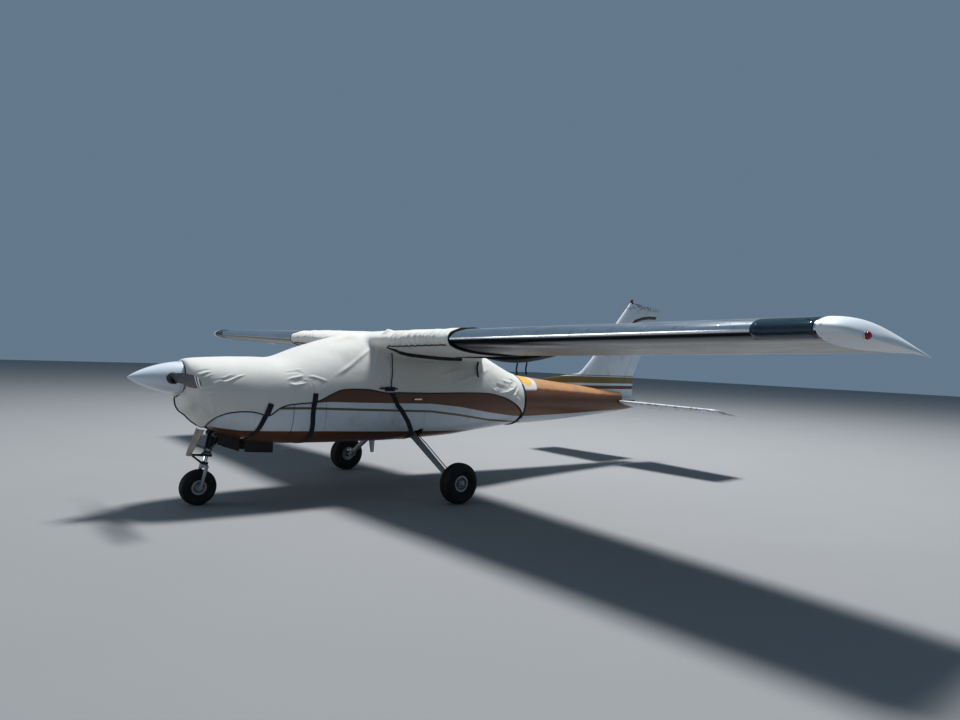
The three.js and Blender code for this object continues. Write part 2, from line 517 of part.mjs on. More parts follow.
function stabRing(y, shrink = 0) {
  const share = (y - STABILATOR.rootY) / (STABILATOR.tipY - STABILATOR.rootY);
  const lead = lerp(STABILATOR.leadRoot, STABILATOR.leadTip, share) + shrink * 0.6;
  const trail = lerp(STABILATOR.trailRoot, STABILATOR.trailTip, share) - shrink * 0.25;
  const chord = trail - lead, tilt = rad(STABILATOR.angle);
  const xs = spread(9);
  const point = (x, k) => {
    const ds = lead + x * chord - STABILATOR.hingeS;
    const dz = k * (chord * halfThick(x, STABILATOR.thick) - shrink * 0.12 * Math.sqrt(x * (1 - x)));
    return new THREE.Vector3(at(STABILATOR.hingeS) + ds * Math.cos(tilt) + dz * Math.sin(tilt), y,
      STABILATOR.z + dz * Math.cos(tilt) - ds * Math.sin(tilt));
  };
  return [...xs.map((x) => point(x, 1)).reverse(), ...xs.slice(1).map((x) => point(x, -1))];
}
const stabHalf = loft([[STABILATOR.rootY, 0], [1000, 0], [1740, 0], [1785, 30], [STABILATOR.tipY, 90]]
  .map(([y, shrink]) => stabRing(y, shrink)), "y");
const stabVentZ = STABILATOR.z - (STABILATOR.ventS - STABILATOR.hingeS) * Math.sin(rad(STABILATOR.angle));
const stabHollow = join(loft([STABILATOR.rootY + 30, STABILATOR.tipY - 90].map((y) => {
  const ring = stabRing(y), n = ring.length, mid = (n - 1) / 2;
  const pick = [mid - 1.5, mid - 3, 2, 1].map(Math.ceil);
  const pull = (p, q, share) => p.clone().lerp(q, share);
  const upper = pick.map((i) => pull(ring[i], ring[n - i] ?? ring[0], 0.12));
  const lower = pick.map((i) => pull(ring[n - i] ?? ring[0], ring[i], 0.12));
  return [...upper, ...lower.reverse()];
}), "y"), rod([at(STABILATOR.ventS), STABILATOR.rootY - 5, stabVentZ],
  [at(STABILATOR.ventS), STABILATOR.rootY + 40, stabVentZ], 12, 10));
const stabShell = stabHalf.subtract(stabHollow);
const stabTube = rod([at(STABILATOR.hingeS), -STABILATOR.rootY - 20, STABILATOR.z],
  [at(STABILATOR.hingeS), STABILATOR.rootY + 20, STABILATOR.z], STABILATOR.tubeR, 48);
add("stabilator", join(stabShell, mirror(stabShell), stabTube), "white");

// Spinner and propeller
const spinnerRadius = (s) => SPINNER.radius * (1 - (1 - s / SPINNER.length) ** 1.7) ** 0.82;
const spinnerOuter = [0, 10, 40, 100, 180, 270, 370, SPINNER.length].map((s) => [spinnerRadius(s), s]);
const spinnerInner = [SPINNER.length, 370, 270, 180, 100, 60].map((s) => [spinnerRadius(s) - 5, s]);
// A body turned about the X axis from (radius, station) pairs
const turned = (pairs, sides = 20, z = THRUST_Z) => {
  const pts = pairs.map(([r, s]) => new THREE.Vector2(r, at(s)));
  const g = new THREE.LatheGeometry(pts, sides);
  g.rotateZ(-Math.PI / 2);
  g.translate(0, 0, z);
  return solidOf(g);
};
const rootHoles = rod([at(PROP.s), -200, THRUST_Z], [at(PROP.s), 200, THRUST_Z], 46, 20);
add("spinner", turned([...spinnerOuter, ...spinnerInner, [0, 40]]).subtract(rootHoles), "white");
const blade = loft(BLADE.map((b) => {
  const turn = rad(b.twist), n = 12;
  return Array.from({ length: n }, (_, i) => {
    const a = (2 * Math.PI * i) / n;
    const u = (b.chord / 2) * Math.cos(a), v = (b.thick / 2) * Math.sin(a);
    return new THREE.Vector3(at(PROP.s) + u * Math.sin(turn) + v * Math.cos(turn), b.y,
      THRUST_Z + u * Math.cos(turn) - v * Math.sin(turn));
  });
}), "y");
add("propeller", join(blade, blade.rotate([180, 0, 0]).translate([0, 0, 2 * THRUST_Z]),
  rod([at(320), 0, THRUST_Z], [at(SPINNER.length), 0, THRUST_Z], 62, 20)), "blade");
add("spinner_backplate",
  rod([at(SPINNER.length + GAP), 0, THRUST_Z], [at(SPINNER.length + 4), 0, THRUST_Z], 160, 24), "metal");

// Wheels: bodies turned about the Y axis from (radius, y) pairs
const wheelSolid = (pairs, w, sides = 20) => solidOf(new THREE.LatheGeometry(
  [...pairs, pairs[0]].map(([r, y]) => new THREE.Vector2(r, y)), sides)
  .translate(at(w.s), w.y, w.r));
const hubHalf = (w) => w.rimHalf + 6;
const rimPairs = (w) => {
  const b = w.rimHalf, rb = w.bead;
  const side = [[w.bore, hubHalf(w)], [w.bore + 14, hubHalf(w)], [w.bore + 14, 8], [rb - 8, 8], [rb - 8, b],
    [rb + 13, b], [rb, b - 5]];
  return [...side, ...side.map(([r, y]) => [r, -y]).reverse()];
};
const tyrePairs = (w) => {
  const b = w.rimHalf - 5.4, rb = w.bead + 0.4, h = w.r - w.bead;
  const side = [[rb, b - 0.5], [rb + 13.5, b + 0.2], [rb + 0.27 * h, b + 0.45 * (w.half - b)],
    [rb + 0.52 * h, w.half], [rb + 0.86 * h, w.half * 0.86], [w.r - 2, w.half * 0.42]];
  return [...side, [w.r, 0], ...side.map(([r, y]) => [r, -y]).reverse()];
};
addPair("main_rim", wheelSolid(rimPairs(MAIN_WHEEL), MAIN_WHEEL), "white");
addPair("main_tyre", wheelSolid(tyrePairs(MAIN_WHEEL), MAIN_WHEEL), "tyre");
add("nose_rim", wheelSolid(rimPairs(NOSE_WHEEL), NOSE_WHEEL), "white");
add("nose_tyre", wheelSolid(tyrePairs(NOSE_WHEEL), NOSE_WHEEL), "tyre");

// Door handles and a mast under the belly
const HANDLE = { s: 2923, z: 1095, length: 104, postAt: 40 };
const handleSkin = sectionAt(HANDLE.s);
const handleRise = (HANDLE.z - handleSkin.mid) / (handleSkin.top - handleSkin.mid);
const handleY = handleSkin.half * (1 - handleRise ** handleSkin.pTop) ** (1 / handleSkin.pTop);
const handleBlock = (s, half, y0, y1, high) =>
  box(at(s - half), at(s + half), handleY + y0, handleY + y1, HANDLE.z - high, HANDLE.z + high);
addPair("door_handle", join(handleBlock(HANDLE.s, HANDLE.length / 2, 14, 20, 9),
  handleBlock(HANDLE.s - HANDLE.postAt, 7, -10, 15, 7), handleBlock(HANDLE.s + HANDLE.postAt, 7, -10, 15, 7))
  .subtract(fuselageSolid(2400, 3650, GAP)), "metal");
const MAST = [ // front and back as s, half width, height
  { front: 2655, back: 2745, half: 7, z: 600 }, { front: 2672, back: 2738, half: 6, z: 500 },
  { front: 2688, back: 2734, half: 4, z: 420 },
];
const mastRing = ({ front, back, half, z }) =>
  [[front, 0], [lerp(front, back, 0.4), half], [back, 0], [lerp(front, back, 0.4), -half]]
    .map(([s, y]) => new THREE.Vector3(at(s), y, z));
add("belly_mast", join(loft(MAST.map(mastRing), "z"), box(at(2640), at(2760), -20, 20, 578, 600))
  .subtract(fuselageSolid(2080, 3650, GAP)), "white");

// Landing gear legs
const wheelAxis = (w, y) => [at(w.s), y, w.r];
const hubInner = MAIN_WHEEL.y - hubHalf(MAIN_WHEEL), hubOuter = MAIN_WHEEL.y + hubHalf(MAIN_WHEEL);
const gearBeam = { from: 2972, to: 3072, end: 360, top: 740 };
add("gear_beam", box(at(gearBeam.from), at(gearBeam.to), -gearBeam.end, gearBeam.end, 560, gearBeam.top)
  .intersect(fuselageSolid(2400, 3650, -CABIN.wall - GAP, 0, HOLLOW_RING)), "steel");
addPair("main_leg", join(
  rod([at(3018), 340, 690], [at(3056), 1115, 240], 40, 14, 27)
    .intersect(box(at(2900), at(3200), gearBeam.end + GAP, 1200, 100, 800)),
  rod(wheelAxis(MAIN_WHEEL, 1090), wheelAxis(MAIN_WHEEL, hubInner - GAP), 32, 16),
  rod(wheelAxis(MAIN_WHEEL, 1160), wheelAxis(MAIN_WHEEL, hubOuter + 4), MAIN_WHEEL.axle, 16)), "white");
const along = (t, y = 0) => [at(STRUT.s + STRUT.rake * t), y, STRUT.z + t];
const noseWheelAxis = (y) => wheelAxis(NOSE_WHEEL, y);
add("nose_fork", join(
  rod(along(STRUT.crown - 18), along(STRUT.crown + 22), 34, 12),
  rod(along(STRUT.crown, -86), along(STRUT.crown, 86), 19, 12),
  rod(along(STRUT.crown, 86), noseWheelAxis(86), 17, 12, 14),
  rod(along(STRUT.crown, -86), noseWheelAxis(-86), 17, 12, 14),
  rod(noseWheelAxis(-100), noseWheelAxis(100), NOSE_WHEEL.axle, 12),
  ...[1, -1].map((k) => rod(noseWheelAxis(k * (hubHalf(NOSE_WHEEL) + GAP)), noseWheelAxis(k * 86), 22, 12))),
"steel");
add("nose_piston", rod(along(STRUT.crown + 22.3), along(STRUT.pistonTo), 20, 14), "metal");
const elbow = [at(612), 0, 512];
add("nose_torque_link", join(
  rod(along(STRUT.crown + 40), elbow, 9, 8), rod([elbow[0], -30, elbow[2]], [elbow[0], 30, elbow[2]], 9, 8),
  rod(elbow, along(320), 9, 8),
  rod(along(STRUT.crown + 22.3), along(STRUT.crown + 40), 32, 14), rod(along(310), along(332), 55, 14))
  .subtract(rod(along(300), along(345), 44, 14)).subtract(rod(along(200), along(300), 24, 14)), "dark");
add("nose_leg", join(
  rod(along(STRUT.legFrom), along(STRUT.legTo), 36, 14), rod(along(332 + GAP), along(344), 50, 14),
  rod([at(617), 0, 620], along(381), 11, 8),
  rod(along(540, -118), along(540, 118), 20, 12),
  ...[-100, 100].map((y) => rod(along(540, y), [at(832), y, 1020], 14, 10)),
  rod(along(360), [at(1050), 0, 800], 13, 10), rod([at(1050), 0, 790], [at(1050), 0, 1020], 16, 10))
  .subtract(rod(along(STRUT.legFrom - 20), along(STRUT.pistonTo + 20), 28, 14))
  .subtract(box(at(600), at(1200), -310, 310, 1010 - GAP, 1400)), "dark");
const FRONT_DOOR = [ // height, s at the middle, half width, how far its edges sweep aft
  { z: 505, s: 568, half: 72, sweep: 12 },
  { z: 770, s: 665, half: 120, sweep: 30 },
];
const frontDoorRing = ({ z, s, half, sweep }) => {
  const row = (depth) => [-1, -0.5, 0, 0.5, 1].map((k) =>
    new THREE.Vector3(at(s + depth + sweep * k * k), k * half, z));
  return [...row(0), ...row(6).reverse()];
};
add("nose_door_front", loft(FRONT_DOOR.map(frontDoorRing), "z"), "white");
const bayDoor = (outline) => sideSlab(outline, 123.7, 127.7);
const foreDoor = [[830, 770], [1050, 703], [1050, 540], [978, 568], [880, 600], [830, 650]];
const aftDoor = [[1110, 692], [1415, 680], [1415, 508], [1232, 521], [1110, 532]];
addPair("nose_door", bayDoor(foreDoor), "dark");
addPair("nose_door_aft", bayDoor(aftDoor), "dark");

// Cover and its straps
const wingSleeve = (grow, reach) => loft([-SLEEVE.leadY - reach, -1, 1, SLEEVE.leadY + reach]
  .map((y) => wholeSection(y, grow)), "y");
const sleevePlan = (() => {
  const half = [[2300, 0], [2300, SLEEVE.leadY], [2450, SLEEVE.leadY], [3000, SLEEVE.midY],
    [4200, SLEEVE.trailY], [4200, 0]];
  const full = [...half, ...half.slice(1, -1).reverse().map(([s, y]) => [s, -y])];
  return loft([1200, 2400].map((z) => full.map(([s, y]) => new THREE.Vector3(at(s), y, z))), "z");
})();
// Below the chord line aft of the flap gap, where the flaps turn down
const flapRoom = loft([618, SLEEVE.leadY + 10].map((y) => {
  const w = wingAt(y), chordZ = (s) => w.leadZ - (s - w.lead) * Math.tan(w.angle);
  const front = SLEEVE.flapFrom, back = 4300;
  return [[front, 1000], [back, 1000], [back, chordZ(back)], [front, chordZ(front)]]
    .map(([s, z]) => new THREE.Vector3(at(s), y, z));
}), "y");
const flapPath = join(flapRoom, mirror(flapRoom));
const coverBody = fuselageSolid(COWL.front, COVER.end, COVER.outer, 6)
  .intersect(sideSlab(HEM, -900, 900));
const coverOuter = join(coverBody, wingSleeve(COVER.outer, 0).intersect(sleevePlan));
// The aft edge is drawn tight on the skin
const coverInner = join(fuselageSolid(COWL.front, COVER.tightFrom, COVER.inner, 2),
  wingSleeve(COVER.inner, 200), fuselageSolid(4650, 5450, GAP));
add("cover", coverOuter.subtract(coverInner).subtract(flapPath)
  .subtract(rod([at(400), 0, THRUST_Z], [at(560), 0, THRUST_Z], 174, 32)), "cloth");
const strapSkin = fuselageSolid(900, 4812, 4).subtract(fuselageSolid(900, 4812, 1, 5));
STRAPS.forEach(({ name, top, foot, half }) => {
  const band = sideSlab([[top[0] - half, top[1] + 60], [top[0] + half, top[1] + 60], [top[0] + half, top[1]],
    [foot[0] + half, foot[1]], [foot[0] + half, 500], [foot[0] - half, 500], [foot[0] - half, foot[1]],
    [top[0] - half, top[1]]], -900, 900);
  add(name, strapSkin.intersect(band), "webbing");
});

export default aircraft;
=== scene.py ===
# A light aircraft parked under its fabric cover. Metres: X from nose to tail, Y to the right-hand wing, Z up.
import math
import random

import bmesh
import bpy
import numpy as np
from mathutils import Matrix, Vector, noise
from mathutils.bvhtree import BVHTree


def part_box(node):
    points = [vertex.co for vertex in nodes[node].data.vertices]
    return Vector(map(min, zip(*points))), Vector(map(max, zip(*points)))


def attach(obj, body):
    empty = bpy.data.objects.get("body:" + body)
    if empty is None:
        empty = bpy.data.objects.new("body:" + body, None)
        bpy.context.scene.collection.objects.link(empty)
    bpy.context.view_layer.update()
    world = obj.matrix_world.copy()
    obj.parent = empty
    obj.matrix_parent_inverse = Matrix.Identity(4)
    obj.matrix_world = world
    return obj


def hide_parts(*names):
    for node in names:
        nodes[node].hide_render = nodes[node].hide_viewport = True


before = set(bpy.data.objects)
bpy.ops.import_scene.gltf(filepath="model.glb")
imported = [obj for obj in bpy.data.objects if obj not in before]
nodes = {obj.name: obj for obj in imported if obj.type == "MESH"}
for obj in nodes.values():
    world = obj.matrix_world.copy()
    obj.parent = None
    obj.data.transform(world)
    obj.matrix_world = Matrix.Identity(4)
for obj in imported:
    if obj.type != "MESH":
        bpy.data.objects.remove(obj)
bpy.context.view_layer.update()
length = 8.306
thrustZ = 1.287


def at(s):  # a distance aft of the spinner's tip, as an x
    return s - length / 2


# Camera
view = {"place": (-5.722, -7.127, 1.593), "yaw": 39.66, "pitch": -0.13, "roll": 2.23, "lens": 25.65}


def makeCamera():
    yaw, pitch, roll = (math.radians(view[k]) for k in ("yaw", "pitch", "roll"))
    ahead = Vector((math.sin(yaw) * math.cos(pitch), math.cos(yaw) * math.cos(pitch), math.sin(pitch)))
    side = Vector((math.cos(yaw), -math.sin(yaw), 0))
    over = side.cross(ahead)
    right = side * math.cos(roll) + over * math.sin(roll)
    up = over * math.cos(roll) - side * math.sin(roll)
    data = bpy.data.cameras.new("camera")
    data.lens, data.sensor_width, data.clip_end = view["lens"], 36, 400
    camera = bpy.data.objects.new("camera", data)
    camera.matrix_world = Matrix((right, up, -ahead)).transposed().to_4x4()
    camera.location = view["place"]
    bpy.context.scene.collection.objects.link(camera)
    bpy.context.scene.camera = camera


# Shader maths: a method that passes a socket and a second value through a maths node
def maths(operation, swapped=False):
    def method(self, other=0.0):
        a, b = (other, self) if swapped else (self, other)
        n = self.shade.node("ShaderNodeMath", {"operation": operation}, {0: a, 1: b})
        return Value(self.shade, n.outputs[0])
    return method


class Value:  # a socket that can be added to, multiplied and compared
    def __init__(self, shade, socket):
        self.shade, self.socket = shade, socket

    __add__ = __radd__ = maths("ADD")
    __sub__, __rsub__ = maths("SUBTRACT"), maths("SUBTRACT", True)
    __mul__ = __rmul__ = maths("MULTIPLY")
    __truediv__ = maths("DIVIDE")
    abs, sin, power = maths("ABSOLUTE"), maths("SINE"), maths("POWER")
    max, min = maths("MAXIMUM"), maths("MINIMUM")

    def step(self, low, high):  # 0 below low, 1 above high, smooth between
        n = self.shade.node("ShaderNodeMapRange", {"interpolation_type": "SMOOTHSTEP"},
                            {"Value": self, "From Min": low, "From Max": high})
        return Value(self.shade, n.outputs["Result"])

    def near(self, centre, half, soft=0.001):  # 1 within half of centre
        return 1 - (self - centre).abs().step(half - soft, half + soft)

    def curve(self, points):  # a piecewise linear curve through (input, output) points
        lo, hi = points[0][0], points[-1][0]
        bottom, top = min(p[1] for p in points), max(p[1] for p in points)
        span = (top - bottom) or 1
        stops = [((x - lo) / (hi - lo), (y - bottom) / span) for x, y in points]
        share = self.shade.ramp((self - lo) / (hi - lo), [(x, (y, y, y)) for x, y in stops])
        return Value(self.shade, share) * span + bottom


class Shade:
    def __init__(self, name, rough=0.5, metal=0.0, **sockets):
        self.material = bpy.data.materials.new(name)
        self.material.use_nodes = True
        self.tree = self.material.node_tree
        self.bsdf = self.tree.nodes["Principled BSDF"]
        self.bsdf.inputs["Roughness"].default_value = rough
        self.bsdf.inputs["Metallic"].default_value = metal
        for key, value in sockets.items():
            self.bsdf.inputs[key.replace("_", " ")].default_value = value
        coordinates = self.node("ShaderNodeTexCoord")
        self.place = coordinates.outputs["Object"]
        split = self.node("ShaderNodeSeparateXYZ", {}, {0: self.place})
        self.x, self.y, self.z = (Value(self, split.outputs[i]) for i in range(3))

    def node(self, kind, settings=None, inputs=None):
        n = self.tree.nodes.new(kind)
        for key, value in (settings or {}).items():
            setattr(n, key, value)
        for key, value in (inputs or {}).items():
            if isinstance(value, Value):
                value = value.socket
            if isinstance(value, bpy.types.NodeSocket):
                self.tree.links.new(value, n.inputs[key])
            else:
                n.inputs[key].default_value = value
        return n

    def ramp(self, factor, stops):
        n = self.node("ShaderNodeValToRGB", {}, {0: factor})
        marks = n.color_ramp.elements
        while len(marks) < len(stops):
            marks.new(0.5)
        for mark, (where, colour) in zip(marks, stops):
            mark.position = where
        for mark, (where, colour) in zip(marks, stops):
            mark.position, mark.color = where, (*colour, 1)
        return n.outputs["Color"]

    def noise(self, scale, detail=3, stretch=None):
        where = self.place
        if stretch:
            where = self.node("ShaderNodeMapping", {}, {0: where, "Scale": stretch}).outputs[0]
        n = self.node("ShaderNodeTexNoise", {}, {"Vector": where, "Scale": scale, "Detail": detail})
        return Value(self, n.outputs["Fac"])

    def mix(self, factor, a, b):
        a, b = (c if isinstance(c, bpy.types.NodeSocket) else (*c, 1) for c in (a, b))
        n = self.node("ShaderNodeMix", {"data_type": "RGBA"}, {0: factor, 6: a, 7: b})
        return n.outputs[2]

    def set(self, key, value):
        if isinstance(value, Value):
            value = value.socket
        if isinstance(value, bpy.types.NodeSocket):
            self.tree.links.new(value, self.bsdf.inputs[key])
        else:
            self.bsdf.inputs[key].default_value = (*value, 1) if isinstance(value, tuple) else value
        return self

    def bump(self, height, strength=0.5, distance=0.002):
        n = self.node("ShaderNodeBump", {}, {"Height": height, "Strength": strength, "Distance": distance})
        self.set("Normal", n.outputs[0])
        return self


# Mesh helpers
def linked(name, data):  # an object of that data in the scene
    made = bpy.data.objects.new(name, data)
    bpy.context.scene.collection.objects.link(made)
    return made


def addObject(name, verts, faces, material):
    mesh = bpy.data.meshes.new(name)
    mesh.from_pydata([tuple(v) for v in verts], [], faces)
    mesh.validate()
    mesh.materials.append(material)
    return linked(name, mesh)


def smooth(obj):
    obj.data.polygons.foreach_set("use_smooth", [True] * len(obj.data.polygons))
    return obj


def sharpen(obj, angle=35):  # marks edges sharper than angle, so smooth shading stops there
    mesh = obj.data
    b = bmesh.new()
    b.from_mesh(mesh)
    limit = math.radians(angle)
    for edge in b.edges:
        if len(edge.link_faces) == 2:
            edge.smooth = edge.calc_face_angle(0) < limit
    b.to_mesh(mesh)
    b.free()
    return smooth(obj)


def outward(obj, merge=1e-5):  # closes doubles and turns every face outwards
    b = bmesh.new()
    b.from_mesh(obj.data)
    bmesh.ops.remove_doubles(b, verts=b.verts, dist=merge)
    bmesh.ops.recalc_face_normals(b, faces=b.faces)
    b.to_mesh(obj.data)
    b.free()
    return obj


def loft(name, rings, material, capped=True, closed=True, angle=35):
    n, count = len(rings[0]), len(rings)
    verts = [p for ring in rings for p in ring]
    faces = []
    for k in range(count - 1):
        for i in range(n if closed else n - 1):
            j = (i + 1) % n
            faces.append((k * n + i, k * n + j, (k + 1) * n + j, (k + 1) * n + i))
    if capped:
        faces += [tuple(range(n))[::-1], tuple((count - 1) * n + i for i in range(n))]
    return sharpen(outward(addObject(name, verts, faces, material)), angle)


def settle(obj):  # applies the modifiers
    mesh = bpy.data.meshes.new_from_object(obj.evaluated_get(bpy.context.evaluated_depsgraph_get()))
    obj.modifiers.clear()
    old, obj.data = obj.data, mesh
    bpy.data.meshes.remove(old)
    return obj


def modify(obj, kind, **settings):
    m = obj.modifiers.new(kind.lower(), kind)
    for key, value in settings.items():
        setattr(m, key, value)
    return settle(obj)


def cut(obj, cutter, operation="DIFFERENCE"):  # the cutter goes with the cut
    modify(obj, "BOOLEAN", object=cutter, operation=operation, solver="EXACT")
    bpy.data.objects.remove(cutter)


def prism(name, outline, y0, y1, material):  # an (s, z) outline run across from y0 to y1
    rings = [[(at(s), y, z) for s, z in outline] for y in (y0, y1)]
    return loft(name, rings, material)


def lathe(name, profile, axis, origin, material, sides=64, angle=35):  # profile: (radius, along) pairs
    axis = Vector(axis).normalized()
    side = axis.orthogonal().normalized()
    other = axis.cross(side)
    rings = []
    for k in range(sides):
        a = 2 * math.pi * k / sides
        out = side * math.cos(a) + other * math.sin(a)
        rings.append([Vector(origin) + axis * h + out * r for r, h in profile])
    n, faces = len(profile), []
    verts = [p for ring in rings for p in ring]
    for k in range(sides):
        m = (k + 1) % sides
        for i in range(n - 1):
            faces.append((k * n + i, m * n + i, m * n + i + 1, k * n + i + 1))
    return sharpen(outward(addObject(name, verts, faces, material)), angle)


def tube(name, points, radius, material, sides=12, closed=False, radii=None):
    points = [Vector(p) for p in points]
    n = len(points)
    rings, normal = [], None
    for k, p in enumerate(points):
        a = points[(k - 1) % n] if closed or k else p
        b = points[(k + 1) % n] if closed or k < n - 1 else p
        along = (b - a).normalized()
        normal = normal - along * normal.dot(along) if normal else along.orthogonal()
        normal.normalize()
        side = along.cross(normal)
        r = radii[k] if radii else radius
        rings.append([p + (normal * math.cos(t) + side * math.sin(t)) * r
                      for t in (2 * math.pi * i / sides for i in range(sides))])
    if closed:
        rings.append(rings[0])
    return loft(name, rings, material, capped=not closed)


# A flat band along a path, facing away from a line along the centre
def ribbon(name, path, half, thick, material, centre=(0, 0, 1.05)):
    path = [Vector(p) for p in path]
    rings = []
    for k, p in enumerate(path):
        along = (path[min(k + 1, len(path) - 1)] - path[max(k - 1, 0)]).normalized()
        out = Vector((0, p.y - centre[1], p.z - centre[2]))
        out = (out - along * out.dot(along)).normalized()
        across = along.cross(out)
        lift = out * thick / 2
        rings.append([p - across * half - lift, p - lift, p + across * half - lift, p + across * half + lift,
                      p + lift, p - across * half + lift])
    return loft(name, rings, material, angle=60)


def joined(name, parts):
    b = bmesh.new()
    materials = []
    for part in parts:
        mesh = part.data
        start = len(b.faces)
        b.from_mesh(mesh)
        b.faces.ensure_lookup_table()
        slots = []
        for m in mesh.materials:
            if m not in materials:
                materials.append(m)
            slots.append(materials.index(m))
        for f in b.faces[start:]:
            f.material_index = slots[f.material_index] if f.material_index < len(slots) else 0
    mesh = bpy.data.meshes.new(name)
    b.to_mesh(mesh)
    b.free()
    for m in materials:
        mesh.materials.append(m)
    made = linked(name, mesh)
    for part in parts:
        bpy.data.objects.remove(part)
    return made


# The piece rides on body and stands for CAD nodes; slot is not used
def dress(piece, body, slot, *replaced):
    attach(piece, body)
    if replaced:
        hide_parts(*replaced)
    return piece


def flip(obj):  # to the other side of the middle
    obj.data.transform(Matrix.Scale(-1, 4, (0, 1, 0)))
    obj.data.flip_normals()
    return obj


def mirrored(obj, name):
    return flip(linked(name, obj.data.copy()))


def ellipsoid(name, centre, radii, material):
    made = lathe(name, [(math.sin(a), math.cos(a)) for a in arc(0, 180, 17)], (0, 0, 1), (0, 0, 0),
                 material, 32)
    made.data.transform(Matrix.Translation(centre) @ Matrix.Diagonal((*radii, 1)))
    return made


def arc(a, b, n):  # n angles from a to b in degrees, as radians
    return [math.radians(a + (b - a) * i / (n - 1)) for i in range(n)]


def rowBetween(rows, k, t):  # a share t of the way from a table's row k to the next, on a smooth curve
    a, b = rows[k], rows[k + 1]
    before, after = rows[max(k - 1, 0)], rows[min(k + 2, len(rows) - 1)]
    step = b[0] - a[0]
    row = [a[0] + step * t]
    for i in range(1, len(a)):
        m0 = (b[i] - before[i]) / (b[0] - before[0]) * step
        m1 = (after[i] - a[i]) / (after[0] - a[0]) * step
        row.append((2 * t**3 - 3 * t**2 + 1) * a[i] + (t**3 - 2 * t**2 + t) * m0
                   + (-2 * t**3 + 3 * t**2) * b[i] + (t**3 - t**2) * m1)
    return row


def between(rows, steps):  # a table with smooth rows between its own
    last = len(rows) - 1
    return [rowBetween(rows, k, j / steps) for k in range(last) for j in range(steps)] + [rows[-1]]


# Fuselage sections: s, top, bottom, half width, widest height, roundness above and below
sections = [
    (0.492, 1.462, 1.075, 0.262, 1.285, 2.0, 2.0), (0.540, 1.474, 0.925, 0.345, 1.265, 2.05, 2.0),
    (0.760, 1.493, 0.762, 0.452, 1.205, 2.2, 2.3), (0.950, 1.501, 0.690, 0.492, 1.170, 2.3, 2.5),
    (1.200, 1.508, 0.625, 0.530, 1.130, 2.4, 2.7), (1.440, 1.516, 0.605, 0.560, 1.100, 2.5, 2.8),
    (1.740, 1.638, 0.596, 0.588, 1.080, 2.4, 2.9), (2.080, 1.748, 0.590, 0.604, 1.070, 2.4, 3.0),
    (2.400, 1.822, 0.586, 0.610, 1.065, 2.5, 3.0), (2.800, 1.846, 0.583, 0.610, 1.060, 2.7, 3.0),
    (3.650, 1.782, 0.605, 0.573, 1.052, 2.7, 2.7), (4.080, 1.690, 0.641, 0.526, 1.048, 2.5, 2.5),
    (4.650, 1.455, 0.687, 0.440, 1.042, 2.2, 2.3), (4.850, 1.396, 0.698, 0.408, 1.038, 2.1, 2.2),
    (5.450, 1.327, 0.715, 0.325, 1.025, 2.1, 2.1), (6.200, 1.252, 0.755, 0.242, 1.010, 2.1, 2.1),
    (6.950, 1.175, 0.803, 0.168, 0.990, 2.1, 2.1), (7.400, 1.130, 0.845, 0.118, 0.985, 2.1, 2.1),
    (7.620, 1.106, 0.875, 0.084, 0.985, 2.1, 2.1),
]


def sectionAt(s):
    k = max(0, min(len(sections) - 2, sum(row[0] <= s for row in sections) - 1))
    front, back = sections[k][0], sections[k + 1][0]
    return rowBetween(sections, k, (s - front) / (back - front))[1:]


def fuselagePoint(s, turn, grow=0.0):  # turn in radians from the right-hand side, over the top
    top, bottom, half, mid, pTop, pBottom = sectionAt(s)
    c, n = math.cos(turn), math.sin(turn)
    p, rise = (pTop, top - mid) if n > 0 else (pBottom, mid - bottom)
    y = (half + grow) * math.copysign(abs(c) ** (2 / p), c)
    z = mid + (rise + grow) * math.copysign(abs(n) ** (2 / p), n)
    return Vector((at(s), y, z))


def skinY(s, z, grow=0.0):  # how far out the skin is at a height
    top, bottom, half, mid, pTop, pBottom = sectionAt(s)
    p, rise = (pTop, top - mid) if z > mid else (pBottom, mid - bottom)
    u = min(1.0, abs(z - mid) / (rise + grow))
    return (half + grow) * (1 - u**p) ** (1 / p)


def onSkin(s, z, sign, grow=0.020):  # the point on the skin, grown, at a station and a height
    return Vector((at(s), sign * skinY(s, z, grow), z))


def stations(front, back, step):
    n = max(2, int(round((back - front) / step)) + 1)
    return [front + (back - front) * i / (n - 1) for i in range(n)]


def fuselageRings(places, grow, sides=96):
    return [[fuselagePoint(s, 2 * math.pi * i / sides, grow) for i in range(sides)] for s in places]


def fuselageSolid(name, front, back, grow, material, step=0.03, sides=96):
    return loft(name, fuselageRings(stations(front, back, step), grow, sides), material)


# Wing sections
wing = {"rootY": 0.62, "tipY": 5.26, "lead": 2.375, "slope": 0.035, "trail": 4.058, "trailSlope": -0.05,
        "trailZ": 1.609, "dihedral": 0.0266, "angles": (4.4, 5.0), "thick": (0.15, 0.148), "camber": 0.02,
        "camberAt": 0.4, "hinge": 0.72, "flap": (0.630, 3.440), "aileron": (3.454, 5.246), "slot": 0.008}
wing["stations"] = [0.6203] + [0.62 + (wing["tipY"] - 0.62) * i / 24 for i in range(1, 25)]
sides = ((1, "right"), (-1, "left"))


def wingAt(y):
    a = abs(y)
    share = (a - wing["rootY"]) / (wing["tipY"] - wing["rootY"])
    lead = wing["lead"] + wing["slope"] * a
    chord = wing["trail"] + wing["trailSlope"] * a - lead
    angle = math.radians(wing["angles"][0] + (wing["angles"][1] - wing["angles"][0]) * share)
    thick = wing["thick"][0] + (wing["thick"][1] - wing["thick"][0]) * share
    leadZ = wing["trailZ"] + wing["dihedral"] * a + chord * math.tan(angle)
    return {"lead": lead, "chord": chord, "angle": angle, "leadZ": leadZ, "thick": thick}


